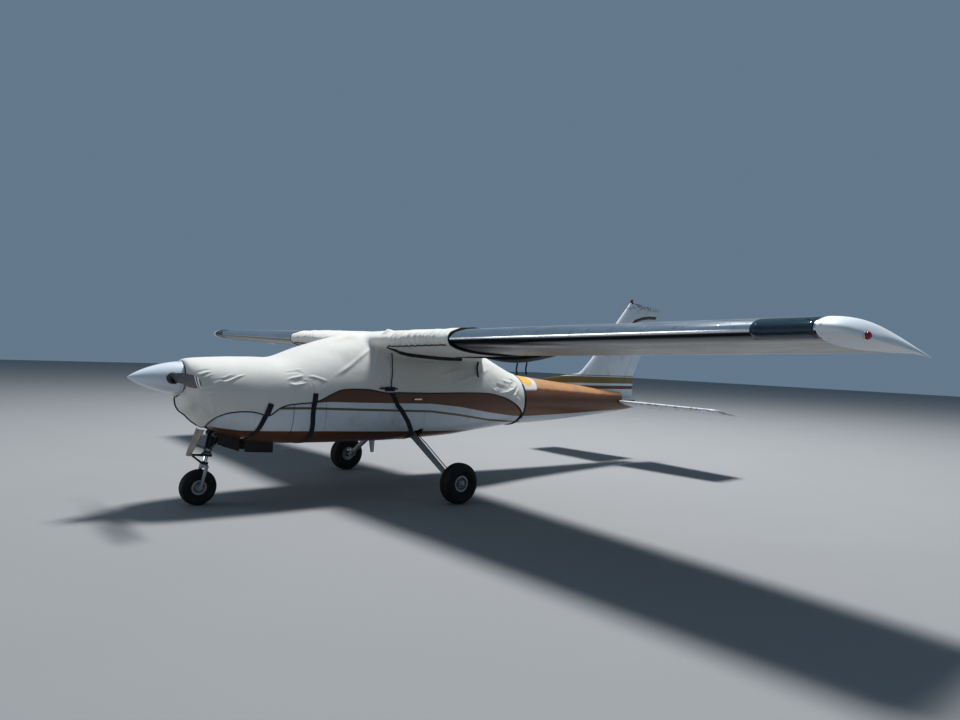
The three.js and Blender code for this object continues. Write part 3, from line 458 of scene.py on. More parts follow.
def halfThick(x, t):
    shape = 0.2969 * math.sqrt(x) - 0.126 * x - 0.3516 * x**2 + 0.2843 * x**3 - 0.1015 * x**4
    return 5 * t * shape + 0.0012 * x


def camberOf(x):
    m, p = wing["camber"], wing["camberAt"]
    return m / p**2 * (2 * p * x - x * x) if x < p else m / (1 - p) ** 2 * (1 - 2 * p + 2 * p * x - x * x)


def wingPoint(w, y, x, z):
    return Vector((at(w["lead"]) + w["chord"] * (x * math.cos(w["angle"]) + z * math.sin(w["angle"])), y,
                   w["leadZ"] + w["chord"] * (z * math.cos(w["angle"]) - x * math.sin(w["angle"]))))


def spread(n, low=0.0, high=1.0):
    return [low + (high - low) * (1 - math.cos(math.pi * i / (n - 1))) / 2 for i in range(n)]


def wingSkin(w, y, x, side, grow=0.0):  # side 1 above, -1 below
    return wingPoint(w, y, x, camberOf(x) + side * (halfThick(x, w["thick"]) + grow / w["chord"]))


def wholeSection(y, grow=0.0, count=41, w=None):
    w = w or wingAt(y)
    g = grow / w["chord"]

    def put(x, side):
        half = halfThick(x, w["thick"]) + g * (x > 0)
        return wingPoint(w, y, x * (1 + 2 * g) - g, camberOf(x) + side * half)

    xs = spread(count)
    return [put(x, 1) for x in xs[::-1]] + [put(x, -1) for x in xs[1:]]


def fixedSection(y):
    w, h = wingAt(y), wing["hinge"]
    r0 = halfThick(h, w["thick"])
    r = r0 + wing["slot"] / w["chord"]
    reach = math.degrees(math.acos(r0 / r))
    xs = spread(34, 0, h - r * math.sin(math.radians(reach)))
    cove = [wingPoint(w, y, h + r * math.cos(a), camberOf(h) + r * math.sin(a))
            for a in arc(270 - reach, 90 + reach, 17)[1:-1]]
    return [wingSkin(w, y, x, 1) for x in xs[::-1]] + [wingSkin(w, y, x, -1) for x in xs[1:]] + cove


def movingSection(y):
    w, h = wingAt(y), wing["hinge"]
    r = halfThick(h, w["thick"])
    xs = spread(14, h, 1)[1:]
    front = [wingPoint(w, y, h + r * math.cos(a), camberOf(h) + r * math.sin(a)) for a in arc(90, 270, 21)]
    return [wingSkin(w, y, x, 1) for x in xs[::-1]] + front + [wingSkin(w, y, x, -1) for x in xs]


# Finishes
palette = {
    "white": (0.66, 0.69, 0.71), "coldWhite": (0.60, 0.66, 0.72), "brown": (0.155, 0.062, 0.028),
    "fadedSunlitTan": (0.58, 0.31, 0.14), "gold": (0.22, 0.155, 0.045), "grime": (0.16, 0.13, 0.10),
    "cloth": (0.72, 0.70, 0.655), "clothDirt": (0.42, 0.38, 0.31), "webbing": (0.006, 0.008, 0.014),
    "metal": (0.80, 0.82, 0.85), "rubber": (0.014, 0.014, 0.015), "patch": (0.84, 0.50, 0.11),
    "lineGold": (0.13, 0.105, 0.05),
}
bands = {  # heights of the livery's edges along the side, as (s, z)
    "upper": [(1.4, 1.060), (1.684, 1.066), (1.816, 1.074), (2.190, 1.063), (2.730, 1.050), (3.130, 1.040),
              (3.570, 0.995), (4.075, 0.915), (4.600, 0.846), (4.900, 0.830), (5.920, 0.833),
              (7.700, 0.870)],
    "line": [(0.9, 1.012), (1.574, 1.010), (1.709, 1.006), (2.735, 0.966), (3.135, 0.949), (3.583, 0.894),
             (4.126, 0.812), (4.600, 0.765), (5.000, 0.735)],
    "lower": [(0.5, 0.850), (0.709, 0.813), (0.968, 0.780), (1.473, 0.768), (1.861, 0.758), (3.006, 0.711),
              (3.996, 0.678), (4.500, 0.640), (5.000, 0.600)],
}


def edged(points):  # the (s, z) points with s turned into x
    return [(at(s), z) for s, z in points]


def weather(shade, colour, dirt=0.35):  # streaks and faint stains over a paint
    streaks = shade.noise(1.0, 4, stretch=(6, 6, 45))
    stains = shade.noise(3.0, 5)
    colour = shade.mix((stains - 0.52).step(0, 0.25) * dirt, colour, palette["grime"])
    return shade.mix((streaks - 0.60).step(0, 0.2) * dirt * 0.5, colour, palette["grime"])


def paintFinish(shade, base=0.34):
    grain = shade.noise(9, 3)
    shade.set("Roughness", grain * 0.22 + base - 0.08)
    shade.set("Coat Weight", 0.25).set("Coat Roughness", 0.2)
    shade.bump(shade.noise(14, 2) * 0.7 + shade.noise(260, 2) * 0.02, 0.12, 0.004)


def liveryPaint():
    shade = Shade("liveryPaint")
    x, z = shade.x, shade.z
    upper, line, lower = (x.curve(edged(bands[k])) for k in ("upper", "line", "lower"))
    white = shade.mix(shade.noise(0.8, 2).step(0.35, 0.7), palette["coldWhite"], palette["white"])
    isTail = x.step(at(4.60), at(4.66))
    below = 1 - (1 - isTail) * z.step(1.238, 1.243)
    isUpper = (z - upper).step(-0.003, 0.003) * below * x.step(at(1.60), at(1.66))
    # the upper tailcone turns lighter tan: partly sun-faded paint, partly painted sunlight on the top
    fadeAndSunHeight = z + (x - at(4.87)) * 0.061 + shade.noise(9, 4) * 0.03
    fadeAndSunlight = fadeAndSunHeight.step(1.222, 1.262) * x.step(at(4.6), at(4.7)) * (shade.noise(5, 4) * 0.5 + 0.70)
    brown = shade.mix(fadeAndSunlight.min(0.9), palette["brown"], palette["fadedSunlitTan"])
    colour = shade.mix(isUpper, white, brown)
    colour = shade.mix(z.near(line, 0.0125) * (1 - x.step(at(4.85), at(4.95))), colour, palette["lineGold"])
    belly = (1 - (z - lower).step(-0.003, 0.003)) * (1 - x.step(at(4.50), at(4.60)))
    colour = shade.mix(belly, colour, palette["brown"])
    aft, aside = x - at(4.94), shade.y + 0.16
    away = (aft * aft + aside * aside).power(0.5) + shade.noise(30, 2) * 0.02
    onTop = z.step(1.17, 1.21)
    colour = shade.mix((1 - away.step(0.245, 0.255)) * onTop, colour, palette["white"])
    colour = shade.mix((1 - away.step(0.165, 0.190)) * onTop, colour, palette["patch"])
    patchy = (shade.noise(7, 5) - 0.5).abs().step(0.0, 0.012)
    colour = shade.mix((1 - patchy) * 0.12, colour, palette["grime"])
    shade.set("Base Color", weather(shade, colour, 0.30))
    paintFinish(shade)
    return shade.material


def whitePaint(name="whitePaint", peel=0.0):
    shade = Shade(name)
    colour = shade.mix(shade.noise(1.5, 2).step(0.3, 0.7), palette["coldWhite"], palette["white"])
    if peel:
        flakes = (shade.noise(16, 6) - (0.60 - 0.06 * peel)).step(0, 0.02)
        colour = shade.mix(flakes * 0.7, colour, (0.34, 0.30, 0.24))
    shade.set("Base Color", weather(shade, colour, 0.22))
    paintFinish(shade, 0.30)
    return shade.material


def bareMetal():  # polished above; duller below, where the colour is painted darker as shade, darkest just under the nose as a painted dark reflection
    shade = Shade("bareMetal", 0.2, 1.0)
    a = shade.y.abs()
    root, end = wingAt(wing["rootY"]), wingAt(wing["tipY"])
    rise = (end["leadZ"] - root["leadZ"]) / (wing["tipY"] - wing["rootY"])
    fromLead = shade.x - at(wing["lead"]) - a * wing["slope"]
    above = shade.z - root["leadZ"] - (a - wing["rootY"]) * rise + fromLead * math.tan(root["angle"])
    # under: the underside, which the lines below paint with shade and reflections
    under = 1 - above.step(-0.024, -0.012)
    seams = fromLead.near(0.20, 0.0012, 0.0006).max(fromLead.near(0.62, 0.0012, 0.0006))
    for rib in (1.27, 1.98, 2.66, 3.34, 4.02, 4.62):
        seams = seams.max(a.near(rib, 0.0012, 0.0006))
    tone = shade.mix(shade.noise(2, 4, stretch=(3, 0.6, 3)).step(0.3, 0.75), palette["metal"],
                     (0.70, 0.72, 0.76))
    tone = shade.mix((shade.noise(22, 4) - 0.60).step(0, 0.1) * 0.35, tone, (0.36, 0.35, 0.33))
    # painted shade: the whole underside is made darker
    tone = shade.mix(under, tone, (0.24, 0.24, 0.235))
    # painted reflection: a dark band on the underside just behind the leading edge, the darkest part
    tone = shade.mix(under * (1 - fromLead.step(0.02, 0.26)), tone, (0.10, 0.105, 0.115))
    # painted reflection: lighter wavy patches of lit floor on the underside near the trailing edge
    paintedReflection = shade.noise(4, 5, stretch=(5, 1.2, 3)).step(0.50, 0.60) * fromLead.step(1.10, 1.25)
    tone = shade.mix(under * paintedReflection, tone, (0.66, 0.64, 0.60))
    shade.set("Base Color", shade.mix(seams * 0.8, tone, (0.05, 0.05, 0.05)))
    polish = 1 - fromLead.step(0.16, 0.24)
    shade.set("Roughness", shade.noise(6, 4, stretch=(4, 0.7, 4)) * 0.22 + 0.20 - polish * 0.13)
    shade.bump(shade.noise(3.2, 2, stretch=(2, 1, 2)) * 0.9 - seams * 0.25, 0.22, 0.006)
    return shade.material


# The fin and rudder: white, bands at the foot, a dark swoosh high up, peeling near the top
def tailPaint():
    shade = Shade("tailPaint")
    x, z = shade.x, shade.z
    white = shade.mix(shade.noise(1.2, 2).step(0.3, 0.7), palette["coldWhite"], palette["white"])
    slope = z - (x - at(5.6)) * -0.006
    colour = white
    for low, high, tone in ((1.285, 1.385, "gold"), (1.195, 1.247, "brown"), (1.400, 1.410, "brown")):
        inBand = (slope - low).step(-0.002, 0.002) * (1 - (slope - high).step(-0.002, 0.002))
        colour = shade.mix(inBand, colour, palette[tone])
    arch = x.curve(edged([(7.45, 2.19), (7.60, 2.305), (7.81, 2.362), (8.00, 2.388), (8.25, 2.395)]))
    colour = shade.mix(z.near(arch, 0.026, 0.006), colour, (0.075, 0.045, 0.030))
    colour = shade.mix(z.near(arch - 0.014, 0.007, 0.004) * x.step(at(7.66), at(7.72)), colour,
                       palette["gold"])
    flakes = (shade.noise(24, 6) - 0.50).step(0, 0.03) * z.step(2.44, 2.60)
    colour = shade.mix(flakes * 0.85, colour, (0.07, 0.06, 0.05))
    shade.set("Base Color", weather(shade, colour, 0.25))
    paintFinish(shade)
    return shade.material


def plain(name, colour, rough, metal, wear, scale, bump):
    shade = Shade(name, rough, metal)
    darker = tuple(c * 0.55 for c in colour)
    mottle = shade.noise(scale, 4)
    shade.set("Base Color", shade.mix((mottle - 0.5).step(-0.1, 0.25) * wear, colour, darker))
    shade.set("Roughness", mottle * 0.25 + rough - 0.12)
    shade.bump(shade.noise(scale * 6, 3), bump, 0.001)
    return shade.material


def clothFinish():
    shade = Shade("coverCloth", 0.86, 0.0, Sheen_Weight=0.25, Sheen_Roughness=0.5)
    x, z = shade.x, shade.z
    base = shade.mix(shade.noise(1.4, 4).step(0.3, 0.75), palette["cloth"], (0.66, 0.645, 0.60))
    stains = (shade.noise(2.2, 6) - 0.60).step(0, 0.14) * z.step(1.35, 1.60)
    base = shade.mix(stains * 0.45, base, palette["clothDirt"])
    specks = (shade.noise(38, 3) - 0.72).step(0, 0.05)
    base = shade.mix(specks * 0.5, base, palette["clothDirt"])
    # darker towards the bottom, in patches
    lowerDarkening = (1 - z.step(0.80, 1.25)) * shade.noise(4, 3).step(0.35, 0.7)
    base = shade.mix(lowerDarkening * 0.25, base, (0.50, 0.48, 0.44))
    shade.set("Base Color", base)
    weave = ((x * 1500).sin() * (z * 1500).sin()) * 0.02
    crumple = shade.noise(9, 5) * 0.8 + shade.noise(34, 4) * 0.25 + weave
    shade.set("Roughness", shade.noise(12, 2) * 0.12 + 0.80)
    shade.bump(crumple, 0.35, 0.006)
    return shade.material


def webbingFinish(name="webbing", colour=None):
    shade = Shade(name, 0.75, 0.0, Sheen_Weight=0.2)
    ribs = ((shade.x + shade.z) * 1400).sin() * ((shade.x - shade.z) * 1400).sin()
    colour = colour or palette["webbing"]
    shade.set("Base Color", shade.mix(shade.noise(20, 3).step(0.4, 0.8) * 0.4, colour, (0.05, 0.05, 0.06)))
    shade.bump(ribs * 0.5 + shade.noise(60, 2) * 0.4, 0.3, 0.0015)
    return shade.material


def tyreFinish():
    shade = Shade("tyreRubber", 0.82)
    dust = (shade.noise(14, 4) - 0.45).step(0, 0.3)
    shade.set("Base Color", shade.mix(dust * 0.5, palette["rubber"], (0.055, 0.050, 0.045)))
    shade.set("Roughness", shade.noise(18, 3) * 0.2 + 0.68)
    shade.bump(shade.noise(240, 3), 0.25, 0.0008)
    return shade.material


def glassFinish(name, colour, rough=0.04, alpha=0.32):
    shade = Shade(name, rough, 0.0, Alpha=alpha, Specular_IOR_Level=0.8)
    shade.set("Base Color", shade.mix(shade.noise(6, 3).step(0.3, 0.8) * 0.4, colour,
                                      tuple(c * 0.8 for c in colour)))
    shade.set("Roughness", shade.noise(9, 3) * 0.06 + rough)
    return shade.material


def tipPaint():  # chalky white, with a little dirt behind the joint
    shade = Shade("tipWhite", 0.5)
    colour = shade.mix(shade.noise(2.5, 3).step(0.3, 0.7), (0.80, 0.83, 0.86), (0.74, 0.78, 0.82))
    marks = (shade.noise(34, 4) - 0.60).step(0, 0.04) * (1 - shade.y.abs().step(5.28, 5.33))
    shade.set("Base Color", shade.mix(marks * 0.7, colour, (0.30, 0.27, 0.24)))
    shade.set("Roughness", shade.noise(8, 3) * 0.12 + 0.42)
    return shade.material


def spinnerFinish():
    shade = Shade("spinnerWhite")
    colour = shade.mix(shade.noise(3, 3).step(0.3, 0.7), (0.78, 0.82, 0.86), (0.72, 0.77, 0.82))
    chips = (shade.noise(60, 4) - 0.66).step(0, 0.03) * (1 - shade.x.step(at(0.02), at(0.12)))
    seam = shade.x.near(at(0.452), 0.0012, 0.0005)
    shade.set("Base Color", shade.mix(chips.max(seam * 0.7), colour, (0.20, 0.19, 0.18)))
    shade.set("Roughness", shade.noise(8, 3) * 0.10 + 0.16)
    shade.set("Coat Weight", 0.6).set("Coat Roughness", 0.06)
    return shade.material


def bladeFinish():
    shade = Shade("propellerBlade")
    out = shade.y.abs()
    base = shade.mix(shade.noise(7, 4).step(0.3, 0.8), (0.018, 0.021, 0.028), (0.034, 0.038, 0.048))
    base = shade.mix(out.near(0.945, 0.020, 0.001).max(out.near(0.880, 0.014, 0.001)), base,
                     (0.72, 0.72, 0.70))
    base = shade.mix(out.near(0.912, 0.014, 0.001), base, (0.02, 0.02, 0.022))
    edge = (shade.noise(40, 4) - 0.58).step(0, 0.06)
    shade.set("Base Color", shade.mix(edge * 0.4, base, (0.20, 0.20, 0.21)))
    shade.set("Roughness", shade.noise(15, 3) * 0.2 + 0.36)
    shade.bump(shade.noise(90, 3), 0.1, 0.001)
    return shade.material


def makeFinishes():
    found = {
        "livery": liveryPaint(), "white": whitePaint(), "peeling": whitePaint("peelingWhite", 1.0),
        "metal": bareMetal(), "tail": tailPaint(), "cloth": clothFinish(), "webbing": webbingFinish(),
        "piping": webbingFinish("piping", (0.016, 0.020, 0.034)), "tyre": tyreFinish(),
        "glass": glassFinish("clearPane", (0.60, 0.66, 0.70)),
        "red": glassFinish("redLens", (0.38, 0.008, 0.012), 0.10, 0.92),
        "lens": glassFinish("landingLens", (0.030, 0.065, 0.095), 0.03, 0.62), "tip": tipPaint(),
        "green": glassFinish("greenLens", (0.02, 0.35, 0.12), 0.08), "spinner": spinnerFinish(),
        "blade": bladeFinish(),
    }
    for key, name, colour, rough, metal, wear, scale, bump in plainFinishes:
        found[key] = plain(name, colour, rough, metal, wear, scale, bump)
    return found


plainFinishes = [  # key, name, colour, roughness, metallic, wear, scale of the wear, bump
    ("steel", "satinSteel", (0.34, 0.35, 0.36), 0.42, 0.9, 0.3, 30, 0.08),
    ("grey", "greyPaint", (0.30, 0.31, 0.32), 0.5, 0.0, 0.4, 30, 0.08),
    ("rim", "rimPaint", (0.42, 0.43, 0.44), 0.45, 0.1, 0.5, 30, 0.08),
    ("black", "blackPaint", (0.018, 0.018, 0.020), 0.5, 0.0, 0.3, 30, 0.08),
    ("chrome", "chrome", (0.80, 0.81, 0.83), 0.12, 1.0, 0.1, 30, 0.02),
    ("door", "doorBlack", (0.020, 0.018, 0.016), 0.45, 0.0, 0.5, 30, 0.08),
    ("beige", "doorPaint", (0.26, 0.215, 0.17), 0.55, 0.0, 0.6, 12, 0.08),
    ("iron", "engineBlock", (0.16, 0.16, 0.17), 0.6, 0.6, 0.3, 30, 0.08),
    ("boot", "rootRubber", (0.015, 0.015, 0.017), 0.6, 0.0, 0.3, 30, 0.08),
    ("lamp", "lampReflector", (0.85, 0.86, 0.88), 0.10, 1.0, 0.05, 30, 0.01),
    ("dark", "shadowGap", (0.010, 0.010, 0.011), 0.8, 0.0, 0.3, 30, 0.08),
]
finish = makeFinishes()
print("finishes made")

carried = {  # CAD nodes that keep their own mesh
    "door_window_right": "glass", "door_window_left": "glass", "rear_window_right": "glass",
    "rear_window_left": "glass", "windshield": "glass", "firewall": "steel", "engine_block": "iron",
    "wing_centre": "metal", "gear_beam": "steel", "nose_piston": "chrome", "door_handle_right": "chrome",
    "door_handle_left": "chrome", "belly_mast": "white",
}
for name, key in carried.items():
    mesh = nodes[name].data
    mesh.materials.clear()
    mesh.materials.append(finish[key])


def grown(outline, d):  # an outline moved outwards by d
    n, out = len(outline), []
    pairs = zip(outline, outline[1:] + outline[:1])
    turn = math.copysign(1, sum(a[0] * b[1] - b[0] * a[1] for a, b in pairs))
    for i, p in enumerate(outline):
        a, b = outline[i - 1], outline[(i + 1) % n]
        u = Vector((p[0] - a[0], p[1] - a[1])).normalized()
        v = Vector((b[0] - p[0], b[1] - p[1])).normalized()
        k = d * turn / (1 + u.dot(v))
        out.append((p[0] + (u.y + v.y) * k, p[1] - (u.x + v.x) * k))
    return out


def box(name, low, high, material):
    (x0, y0, z0), (x1, y1, z1) = low, high
    ring = [(y0, z0), (y1, z0), (y1, z1), (y0, z1)]
    return loft(name, [[(x, y, z) for y, z in ring] for x in (x0, x1)], material)


def halved(path):  # a path with a point added halfway along each stretch
    path = [Vector(p) for p in path]
    return [a.lerp(b, t) for a, b in zip(path, path[1:]) for t in (0, 0.5)] + [path[-1]]


def rod(name, a, b, radius, material, radiusB=None, sides=24):
    return tube(name, [a, b], radius, material, sides, radii=[radius, radiusB or radius])


# Fuselage skins
body = {
    "cowl": (0.492, 1.440), "cabin": (1.448, 4.650), "tail": (4.6503, 7.620), "gap": 0.003, "wall": 0.012,
    "tailWall": 0.009, "tailInside": 7.19, "tubeHole": (7.37, 0.966, 0.0282), "over": 0.02,
    "across": (0.3, 0.8), "legHole": (0.345, 0.56), "intake": (0.15, 0.225),
    "door": [(1.800, 0.720), (1.786, 1.060), (1.850, 1.300), (2.150, 1.560), (2.330, 1.600), (3.000, 1.590),
             (3.040, 1.500), (3.046, 0.760), (3.000, 0.720)],
    "doorWindow": [(1.935, 1.235), (2.230, 1.510), (2.360, 1.545), (2.950, 1.535), (2.965, 1.235)],
    "rearWindow": [(3.130, 1.235), (3.130, 1.500), (3.520, 1.480), (3.830, 1.360), (3.880, 1.235)],
    "notch": [(7.208, 1.008), (7.345, 1.301), (7.8, 1.301), (7.8, 1.008)],
    "screen": [(1.500, 1.462), (1.500, 1.900), (2.290, 1.900), (2.290, 1.712), (2.130, 1.620), (1.830, 1.440),
               (1.620, 1.425)],
}


def hollow(obj, front, back, wall, step=0.08):
    cut(obj, fuselageSolid("inside", front, back, -wall, finish["livery"], step, 48))


def makeCowl():
    paint = finish["livery"]
    front, back = body["cowl"]
    cowl = fuselageSolid("cowl", front, back, 0, paint)
    hollow(cowl, front + 0.016, back + body["over"], body["wall"])
    cut(cowl, tube("hub", [(at(front) - 0.05, 0, thrustZ), (at(front) + 0.09, 0, thrustZ)], 0.1, paint, 48))
    for side in (-1, 1):
        y0, y1 = sorted(y * side for y in body["intake"])
        cut(cowl, box("intake", (at(0.40), y0, 1.225), (at(0.56), y1, 1.330), paint))
    cut(cowl, box("bay", (at(0.60), -0.128, 0.5), (at(1.425), 0.128, 0.9), paint))
    dress(sharpen(cowl, 30), "airframe", "skin_white", "cowling")


def makeCabin():
    paint = finish["livery"]
    front, back = body["cabin"]
    wall = fuselageSolid("cabin", front, back, 0, paint)
    hollow(wall, front - body["over"], back + body["over"], body["wall"])
    cut(wall, loft("wingPlace", [wholeSection(y, 0.0006, 21) for y in (-0.68, -0.001, 0.001, 0.68)], paint))
    door = linked("door", wall.data.copy())
    cut(door, prism("doorShape", body["door"], *body["across"], paint), "INTERSECT")
    cut(door, prism("doorPane", grown(body["doorWindow"], body["gap"]), *body["across"], paint))
    holes = [prism("screenHole", grown(body["screen"], body["gap"]), -0.7, 0.7, paint)]
    for sign in (1, -1):
        for key in ("door", "rearWindow"):
            y0, y1 = sorted(y * sign for y in body["across"])
            holes.append(prism(key, grown(body[key], body["gap"]), y0, y1, paint))
        y0, y1 = sorted(y * sign for y in body["legHole"])
        holes.append(box("legHole", (at(2.96), y0, 0.5), (at(3.09), y1, 0.74), paint))
    for hole in holes:
        cut(wall, hole)
    dress(sharpen(wall, 30), "airframe", "skin_white", "cabin_shell")
    dress(mirrored(sharpen(door, 30), "doorLeft"), "airframe", "skin_white", "cabin_door_left")
    dress(door, "airframe", "skin_white", "cabin_door_right")


def makeTailcone():
    paint, hole = finish["livery"], body["tubeHole"]
    front, back = body["tail"]
    cone = fuselageSolid("tailcone", front, back, 0, paint, 0.045)
    hollow(cone, front - body["over"], body["tailInside"], body["tailWall"], 0.12)
    cut(cone, rod("tubeHole", *[(at(hole[0]), y, hole[1]) for y in (-0.2, 0.2)], hole[2], paint, sides=48))
    cut(cone, prism("notch", body["notch"], -0.2, 0.2, paint))
    post = rod("post", hingeLine(0.985), hingeLine(1.026), 0.015, finish["steel"])
    dress(joined("tailcone", [sharpen(cone, 30), post]), "airframe", "skin_white", "tailcone")


def makeFuselage():
    makeCowl()
    makeCabin()
    makeTailcone()
    print("fuselage made")


# Fin, rudder and stabilator
fin = {"leadLow": (6.614, 1.668), "leadHigh": (7.524, 2.620), "hingeLow": (7.315, 1.140),
       "hingeHigh": (7.985, 2.577), "trailLow": (7.655, 1.400), "trailHigh": (8.306, 2.547), "foot": 1.036,
       "rudderFoot": 1.030, "top": 2.640, "cap": 2.602, "thick": 0.085, "slot": 0.008}


def onLine(a, b, z):
    return a[0] + (b[0] - a[0]) * (z - a[1]) / (b[1] - a[1])


def hingeLine(z):
    return (at(onLine(fin["hingeLow"], fin["hingeHigh"], z)), 0, z)


def finAt(z):
    hinge, lead = onLine(fin["hingeLow"], fin["hingeHigh"], z), onLine(fin["leadLow"], fin["leadHigh"], z)
    low, high = fin["trailLow"], fin["trailHigh"]
    trail = onLine(low, high, z) if z > low[1] else low[0] - 0.012
    chord = trail - lead
    return hinge, lead, trail, chord, chord * halfThick((hinge - lead) / chord, fin["thick"])


def finRing(z):
    hinge, lead, _, chord, r0 = finAt(z)
    r = r0 + fin["slot"]
    reach = math.degrees(math.acos(r0 / r))
    xs = spread(24, 0, (hinge - r * math.sin(math.radians(reach)) - lead) / chord)
    side = [(at(lead + x * chord), chord * halfThick(x, fin["thick"])) for x in xs]
    turns = arc(270 - reach, 90 + reach, 17)[1:-1]
    cove = [(at(hinge + r * math.cos(a)), r * math.sin(a), z) for a in turns]
    return [(x, y, z) for x, y in side[::-1]] + [(x, -y, z) for x, y in side[1:]] + cove


def rudderRing(z):
    hinge, _, trail, _, r = finAt(z)
    front = [(at(hinge + r * math.cos(a)), r * math.sin(a), z) for a in arc(90, 270, 21)]
    tail = []
    for i in range(1, 9):
        share = i / 8
        half = 0.002 + (r - 0.002) * (1 - share) ** 0.95 * (1 - 0.1 * share)
        tail.append((at(hinge + (trail - hinge) * share), half, z))
    return front + [(x, -y, z) for x, y, z in tail] + tail[::-1]


def finOutline():
    points = [(5.0, 0.90), (5.0, 1.70), (6.90, 1.90), (7.40, 2.56), (7.44, 2.584), (7.524, fin["cap"]),
              (8.336, 2.545), (8.336, 0.90)]
    return prism("outline", points, -0.2, 0.2, finish["tail"])


dorsal = [(5.56, 1.338, 0.005), (5.90, 1.382, 0.016), (6.25, 1.418, 0.024), (6.327, 1.432, 0.027),
          (6.39, 1.470, 0.0285), (6.45, 1.520, 0.030), (6.614, 1.668, 0.030), (6.70, 1.700, 0.022)]


def dorsalRing(s, top, half):
    points = [(half * 1.5, 1.080), (half * 1.25, 1.080 + (top - 1.08) * 0.4),
              (half, 1.080 + (top - 1.08) * 0.8)]
    points += [(half * math.cos(a), top - (top - 1.08) * 0.2 * (1 - math.sin(a))) for a in arc(20, 80, 4)]
    return [(at(s), y, z) for y, z in points] + [(at(s), -y, z) for y, z in points[::-1]]


stab = {"rootY": 0.172, "tipY": 1.800, "lead": (7.095, 7.185), "trail": (7.950, 7.830), "z": 0.956,
        "thick": 0.085, "hinge": 7.370, "angle": 9.5, "tube": 0.028}


def stabRing(y, shrink=0.0):
    share = (y - stab["rootY"]) / (stab["tipY"] - stab["rootY"])
    lead = stab["lead"][0] + (stab["lead"][1] - stab["lead"][0]) * share + shrink * 0.6
    trail = stab["trail"][0] + (stab["trail"][1] - stab["trail"][0]) * share - shrink * 0.25
    chord, tilt = trail - lead, math.radians(stab["angle"])
    flat = 1 - (shrink / 0.09) ** 2 * 0.45

    def point(x, k):
        ds = lead + x * chord - stab["hinge"]
        dz = k * chord * halfThick(x, stab["thick"]) * flat
        return (at(stab["hinge"]) + ds * math.cos(tilt) + dz * math.sin(tilt), y,
                stab["z"] + dz * math.cos(tilt) - ds * math.sin(tilt))

    xs = spread(29)
    return [point(x, 1) for x in xs[::-1]] + [point(x, -1) for x in xs[1:]]


def upTo(low, high, steps=30):
    return [low + (high - low) * i / steps for i in range(steps + 1)]


def makeFin():
    upright = loft("fin", [finRing(z) for z in upTo(fin["foot"], fin["top"])], finish["tail"])
    fairing = loft("dorsal", [dorsalRing(*row) for row in dorsal], finish["tail"])
    cut(upright, fairing, "UNION")
    cut(upright, finOutline(), "INTERSECT")
    dress(sharpen(upright, 32), "airframe", "skin_white", "fin")


def makeRudder():
    rudder = loft("rudder", [rudderRing(z) for z in upTo(fin["rudderFoot"], fin["top"])], finish["tail"])
    cut(rudder, finOutline(), "INTERSECT")
    cut(rudder, rod("pocket", hingeLine(1.0), hingeLine(1.036), 0.04, finish["tail"]))
    pin = rod("pin", hingeLine(1.0263), hingeLine(1.06), 0.015, finish["steel"])
    dress(joined("rudder", [sharpen(rudder, 32), pin]), "rudder", "skin_white", "rudder")


def makeBeacon():
    foot, up = (at(7.547), 0, fin["cap"] - 0.003), (0, 0, 1)
    lens = [(0.0, 0.070), (0.008, 0.0693), (0.015, 0.065), (0.020, 0.058), (0.0225, 0.048), (0.0225, 0.014)]
    base = [(0.0, 0.014), (0.025, 0.014), (0.026, 0.008), (0.030, 0.004), (0.031, -0.004), (0.022, -0.012)]
    bulb = [(0.0, 0.050), (0.006, 0.048), (0.009, 0.040), (0.009, 0.014)]
    parts = [lathe("beaconLens", lens, up, foot, finish["red"], 32),
             lathe("beaconBase", base, up, foot, finish["black"], 32),
             lathe("beaconBulb", bulb, up, foot, finish["lamp"], 16)]
    dress(joined("beacon", parts), "airframe", "red_lens", "beacon")


def makeStabilator():
    rows = [(y, 0.0) for y in upTo(stab["rootY"], 1.70, 12)]
    rows += [(1.72, 0.004), (1.74, 0.011), (1.76, 0.024), (1.775, 0.038), (1.787, 0.056), (1.796, 0.074),
             (stab["tipY"], 0.090)]
    half = loft("stabilator", [stabRing(y, k) for y, k in rows], finish["peeling"])
    other = mirrored(half, "stabilatorLeft")
    ends = [(at(stab["hinge"]), y, stab["z"]) for y in (-0.20, 0.20)]
    shaft = rod("shaft", *ends, stab["tube"], finish["steel"], sides=48)
    dress(joined("stabilator", [half, other, shaft]), "stabilator", "skin_white", "stabilator")


def makeTail():
    makeFin()
    makeRudder()
    makeBeacon()
    makeStabilator()
    print("tail made")


# Wings
tips = [(5.2603, 0.0, 1.0, 0.0), (5.33, 0.004, 0.97, 0.003), (5.40, 0.026, 0.87, 0.010),
        (5.45, 0.075, 0.70, 0.022), (5.482, 0.155, 0.50, 0.033), (5.502, 0.250, 0.31, 0.041),
        (5.51, 0.360, 0.15, 0.046)]
lamps = {"from": 4.850, "to": 5.248, "depth": 0.095, "below": 0.050, "lean": 0.42, "at": (5.095, 5.190),
         "block": (1.7, 2.2)}


def tipRing(y, aft, thick, droop):
    w = wingAt(y)
    shrunk = dict(w, lead=w["lead"] + aft, chord=w["chord"] - aft, thick=w["thick"] * thick,
                  leadZ=w["leadZ"] - aft * math.tan(w["angle"]) - droop)
    return wholeSection(y, 0.0, 33, shrunk)


def lensDepth(w, z):  # how far behind the leading edge the lens ends at a height
    return lamps["depth"] + lamps["lean"] * (z - w["leadZ"] + lamps["below"])


# The skin round the leading edge as far as the lens goes
def noseStrip(name, y0, y1, inset, material, steps=14):
    rings = []
    for i in range(steps + 1):
        y = y0 + (y1 - y0) * i / steps
        w = wingAt(y)
        ring = []
        for side in (1, -1):
            end = 0.06
            for k in range(8):
                end = (lensDepth(w, wingSkin(w, y, end, side).z) - inset) / w["chord"]
            row = [wingSkin(w, y, end * (j / 14) ** 2, side) for j in range(15)]
            ring += row[::-1] if side > 0 else row[1:]
        rings.append(ring)
    return loft(name, rings, material, capped=False, closed=False)


